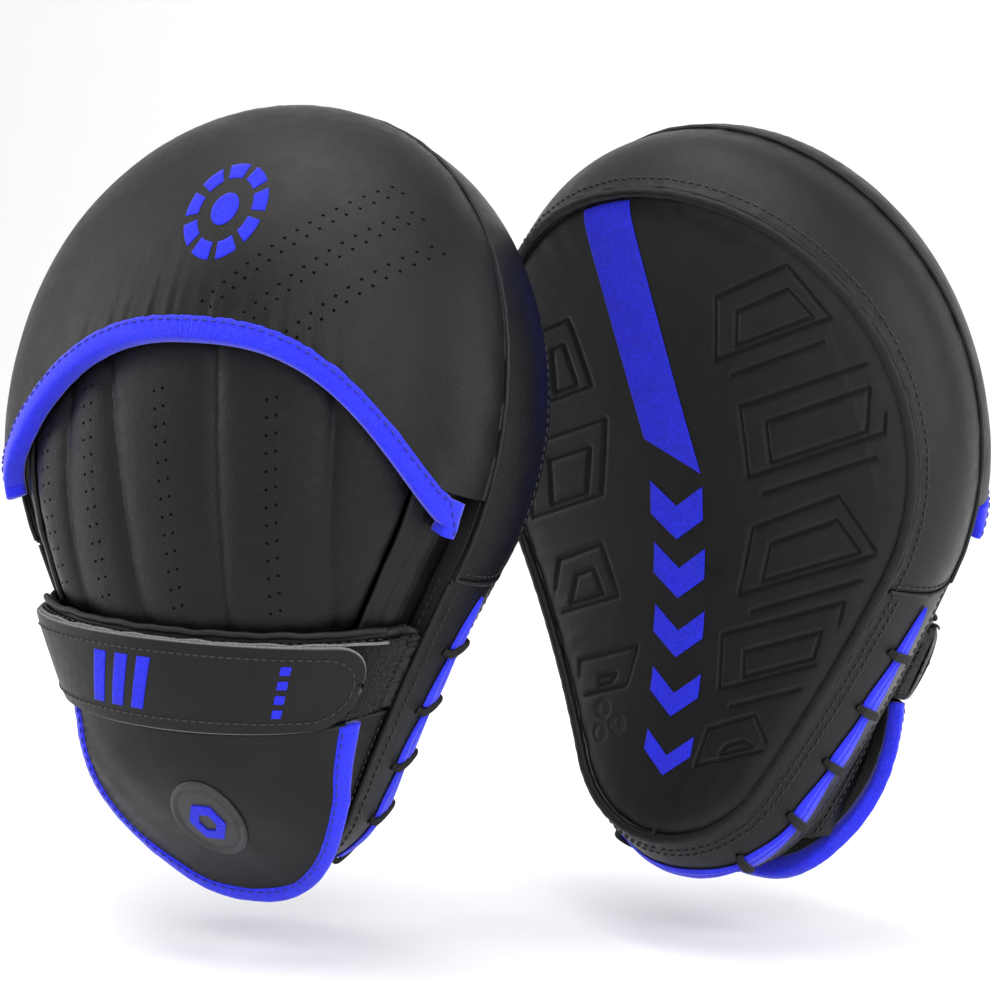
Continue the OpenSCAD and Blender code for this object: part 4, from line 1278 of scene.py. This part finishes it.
def buildGrip(side):
    # half ball that the palm closes over: leather drawn over foam, pinched in four seams
    r, a = gridOf(np.sin(np.linspace(0.03, math.pi / 2, 36)), np.linspace(0, 2 * math.pi, 97))
    radius, rise = gripSpec["radius"], gripSpec["rise"]
    seam = gripSpec["seamDeep"] * np.exp(-(np.abs(((a / (math.pi / 2)) % 1) - 0.5) - 0.5) ** 2 / 0.002)
    h = (rise - seam) * np.sqrt(np.clip(1 - r ** 2, 0, 1)) + 0.35
    centre = mitt["archLow"] - gripSpec["below"]
    tilt = (centre - mitt["bendLevel"]) / mitt["bendRadius"]
    local = np.stack([radius * r * np.cos(a), h, radius * r * np.sin(a)], -1)
    c, s = math.cos(tilt), math.sin(tilt)
    lx, ly, lz = np.moveaxis(local, -1, 0)
    turned = np.stack([lx, ly * c - lz * s, ly * s + lz * c], -1)
    grid = turned + bend([0, thick, centre])
    ball = sheetPiece(side, "palm_grip_leather", grid, 1.0, softLeather, replaces=["palm_grip"],
                      slotName="grip_leather", bulge=0.05)


for side in ("left", "right"):
    buildFace(side)
    buildPressedShade(side)
    buildPrint(side)
    buildWall(side)
    buildWallThread(side)
    print(side, "mitt: face and wall done")
    buildHood(side)
    buildHoodBinding(side)
    buildVents(side)
    buildHoodMark(side)
    print(side, "mitt: hood done")
    buildHandPad(side)
    buildGussets(side)
    buildYoke(side)
    buildCuffSides(side)
    buildStrap(side)
    buildFlap(side)
    print(side, "mitt: hand and cuff done")
    buildLace(side)
    buildPalm(side)
    buildGrip(side)
    print(side, "mitt: lace and palm done")
    for node, material in (("front_foam", sponge), ("back_foam", sponge), ("hood_foam", sponge),
                           ("shock_sheet", gelRubber)):
        layer = frame["nodes"][side + "_" + node]
        layer.data.materials.clear()
        layer.data.materials.append(material)


# stage, lights and camera
floorSpec = {"colour": "#f4f4f5", "drop": 0.02, "back": 2.2, "side": 5.0, "sweep": 0.8}


def buildStage():
    m = newMaterial("paperBackdropMatt")
    place = addNode(m, "TexCoord").outputs["Object"]
    tooth = addNode(m, "TexNoise", None, Vector=place, Scale=900.0, Detail=2.0)
    bump = addNode(m, "Bump", None, Height=tooth.outputs["Fac"], Strength=0.05, Distance=0.0002)
    finishMaterial(m, linear(floorSpec["colour"]), 0.9, bump.outputs["Normal"])
    z0 = boundsAtStart[0][2] - floorSpec["drop"]
    sweep = floorSpec["sweep"]
    foot = floorSpec["back"] - sweep
    curve = [(-3.0, z0), (foot, z0)]
    curve += [(foot + sweep * math.sin(a), z0 + sweep * (1 - math.cos(a)))
              for a in np.linspace(0.1, math.pi / 2, 14)]
    curve += [(floorSpec["back"], z0 + 4.0)]
    points = []
    for y, z in curve:
        points += [(-floorSpec["side"], y, z), (floorSpec["side"], y, z)]
    faces = [(2 * k, 2 * k + 1, 2 * k + 3, 2 * k + 2) for k in range(len(curve) - 1)]
    mesh = bpy.data.meshes.new("backdrop")
    mesh.from_pydata(points, [], faces)
    for f in mesh.polygons:
        f.use_smooth = True
    backdrop = bpy.data.objects.new("backdrop", mesh)
    bpy.context.scene.collection.objects.link(backdrop)
    mesh.materials.append(m)


cameraSpec = {"azimuth": 22.9, "elevation": 5.5, "roll": 2.4, "distance": 0.99, "reach": 2.74, "sensor": 36}
target = Vector((-0.0768, -0.106, 0.0102))


def aim(thing, place, at):
    thing.location = place
    thing.rotation_euler = (at - place).to_track_quat("-Z", "Y").to_euler()


def buildCamera():
    az = math.radians(cameraSpec["azimuth"])
    el = math.radians(cameraSpec["elevation"])
    away = Vector((math.sin(az) * math.cos(el), -math.cos(az) * math.cos(el), math.sin(el)))
    data = bpy.data.cameras.new("studioCamera")
    data.sensor_width = cameraSpec["sensor"]
    data.lens = cameraSpec["sensor"] * cameraSpec["reach"]
    data.clip_end = 30
    camera = bpy.data.objects.new("studioCamera", data)
    bpy.context.scene.collection.objects.link(camera)
    aim(camera, target + away * cameraSpec["distance"], target)
    camera.rotation_euler.rotate_axis("Z", math.radians(cameraSpec["roll"]))
    bpy.context.scene.camera = camera


lampSpec = {
    # where each lamp stands from the middle of the pair, its size in metres, its watts
    "keySoftbox": ((0.9, -1.5, 1.1), (1.2, 1.2), 19),
    "topSoftbox": ((-0.2, -0.3, 1.7), (1.6, 1.2), 24),
    "leftStrip": ((-1.6, -0.5, 0.5), (0.4, 1.6), 14),
    "rightStrip": ((1.5, 0.1, 0.5), (0.4, 1.6), 14)}
skyStrength = 0.72


def softbox(name, offset, size, power):
    data = bpy.data.lights.new(name, "AREA")
    data.shape = "RECTANGLE"
    data.size, data.size_y = size
    data.energy = power
    lamp = bpy.data.objects.new(name, data)
    bpy.context.scene.collection.objects.link(lamp)
    aim(lamp, target + Vector(offset), target)


def buildLights():
    world = bpy.data.worlds.new("studioWorld")
    bpy.context.scene.world = world
    world.use_nodes = True
    world.node_tree.nodes["Background"].inputs["Color"].default_value = linear("#ffffff")
    world.node_tree.nodes["Background"].inputs["Strength"].default_value = skyStrength
    for name, (offset, size, power) in lampSpec.items():
        softbox(name, offset, size, power)
    bpy.context.scene.view_settings.view_transform = "Standard"


buildStage()
buildCamera()
buildLights()
print("stage, lights and camera done")
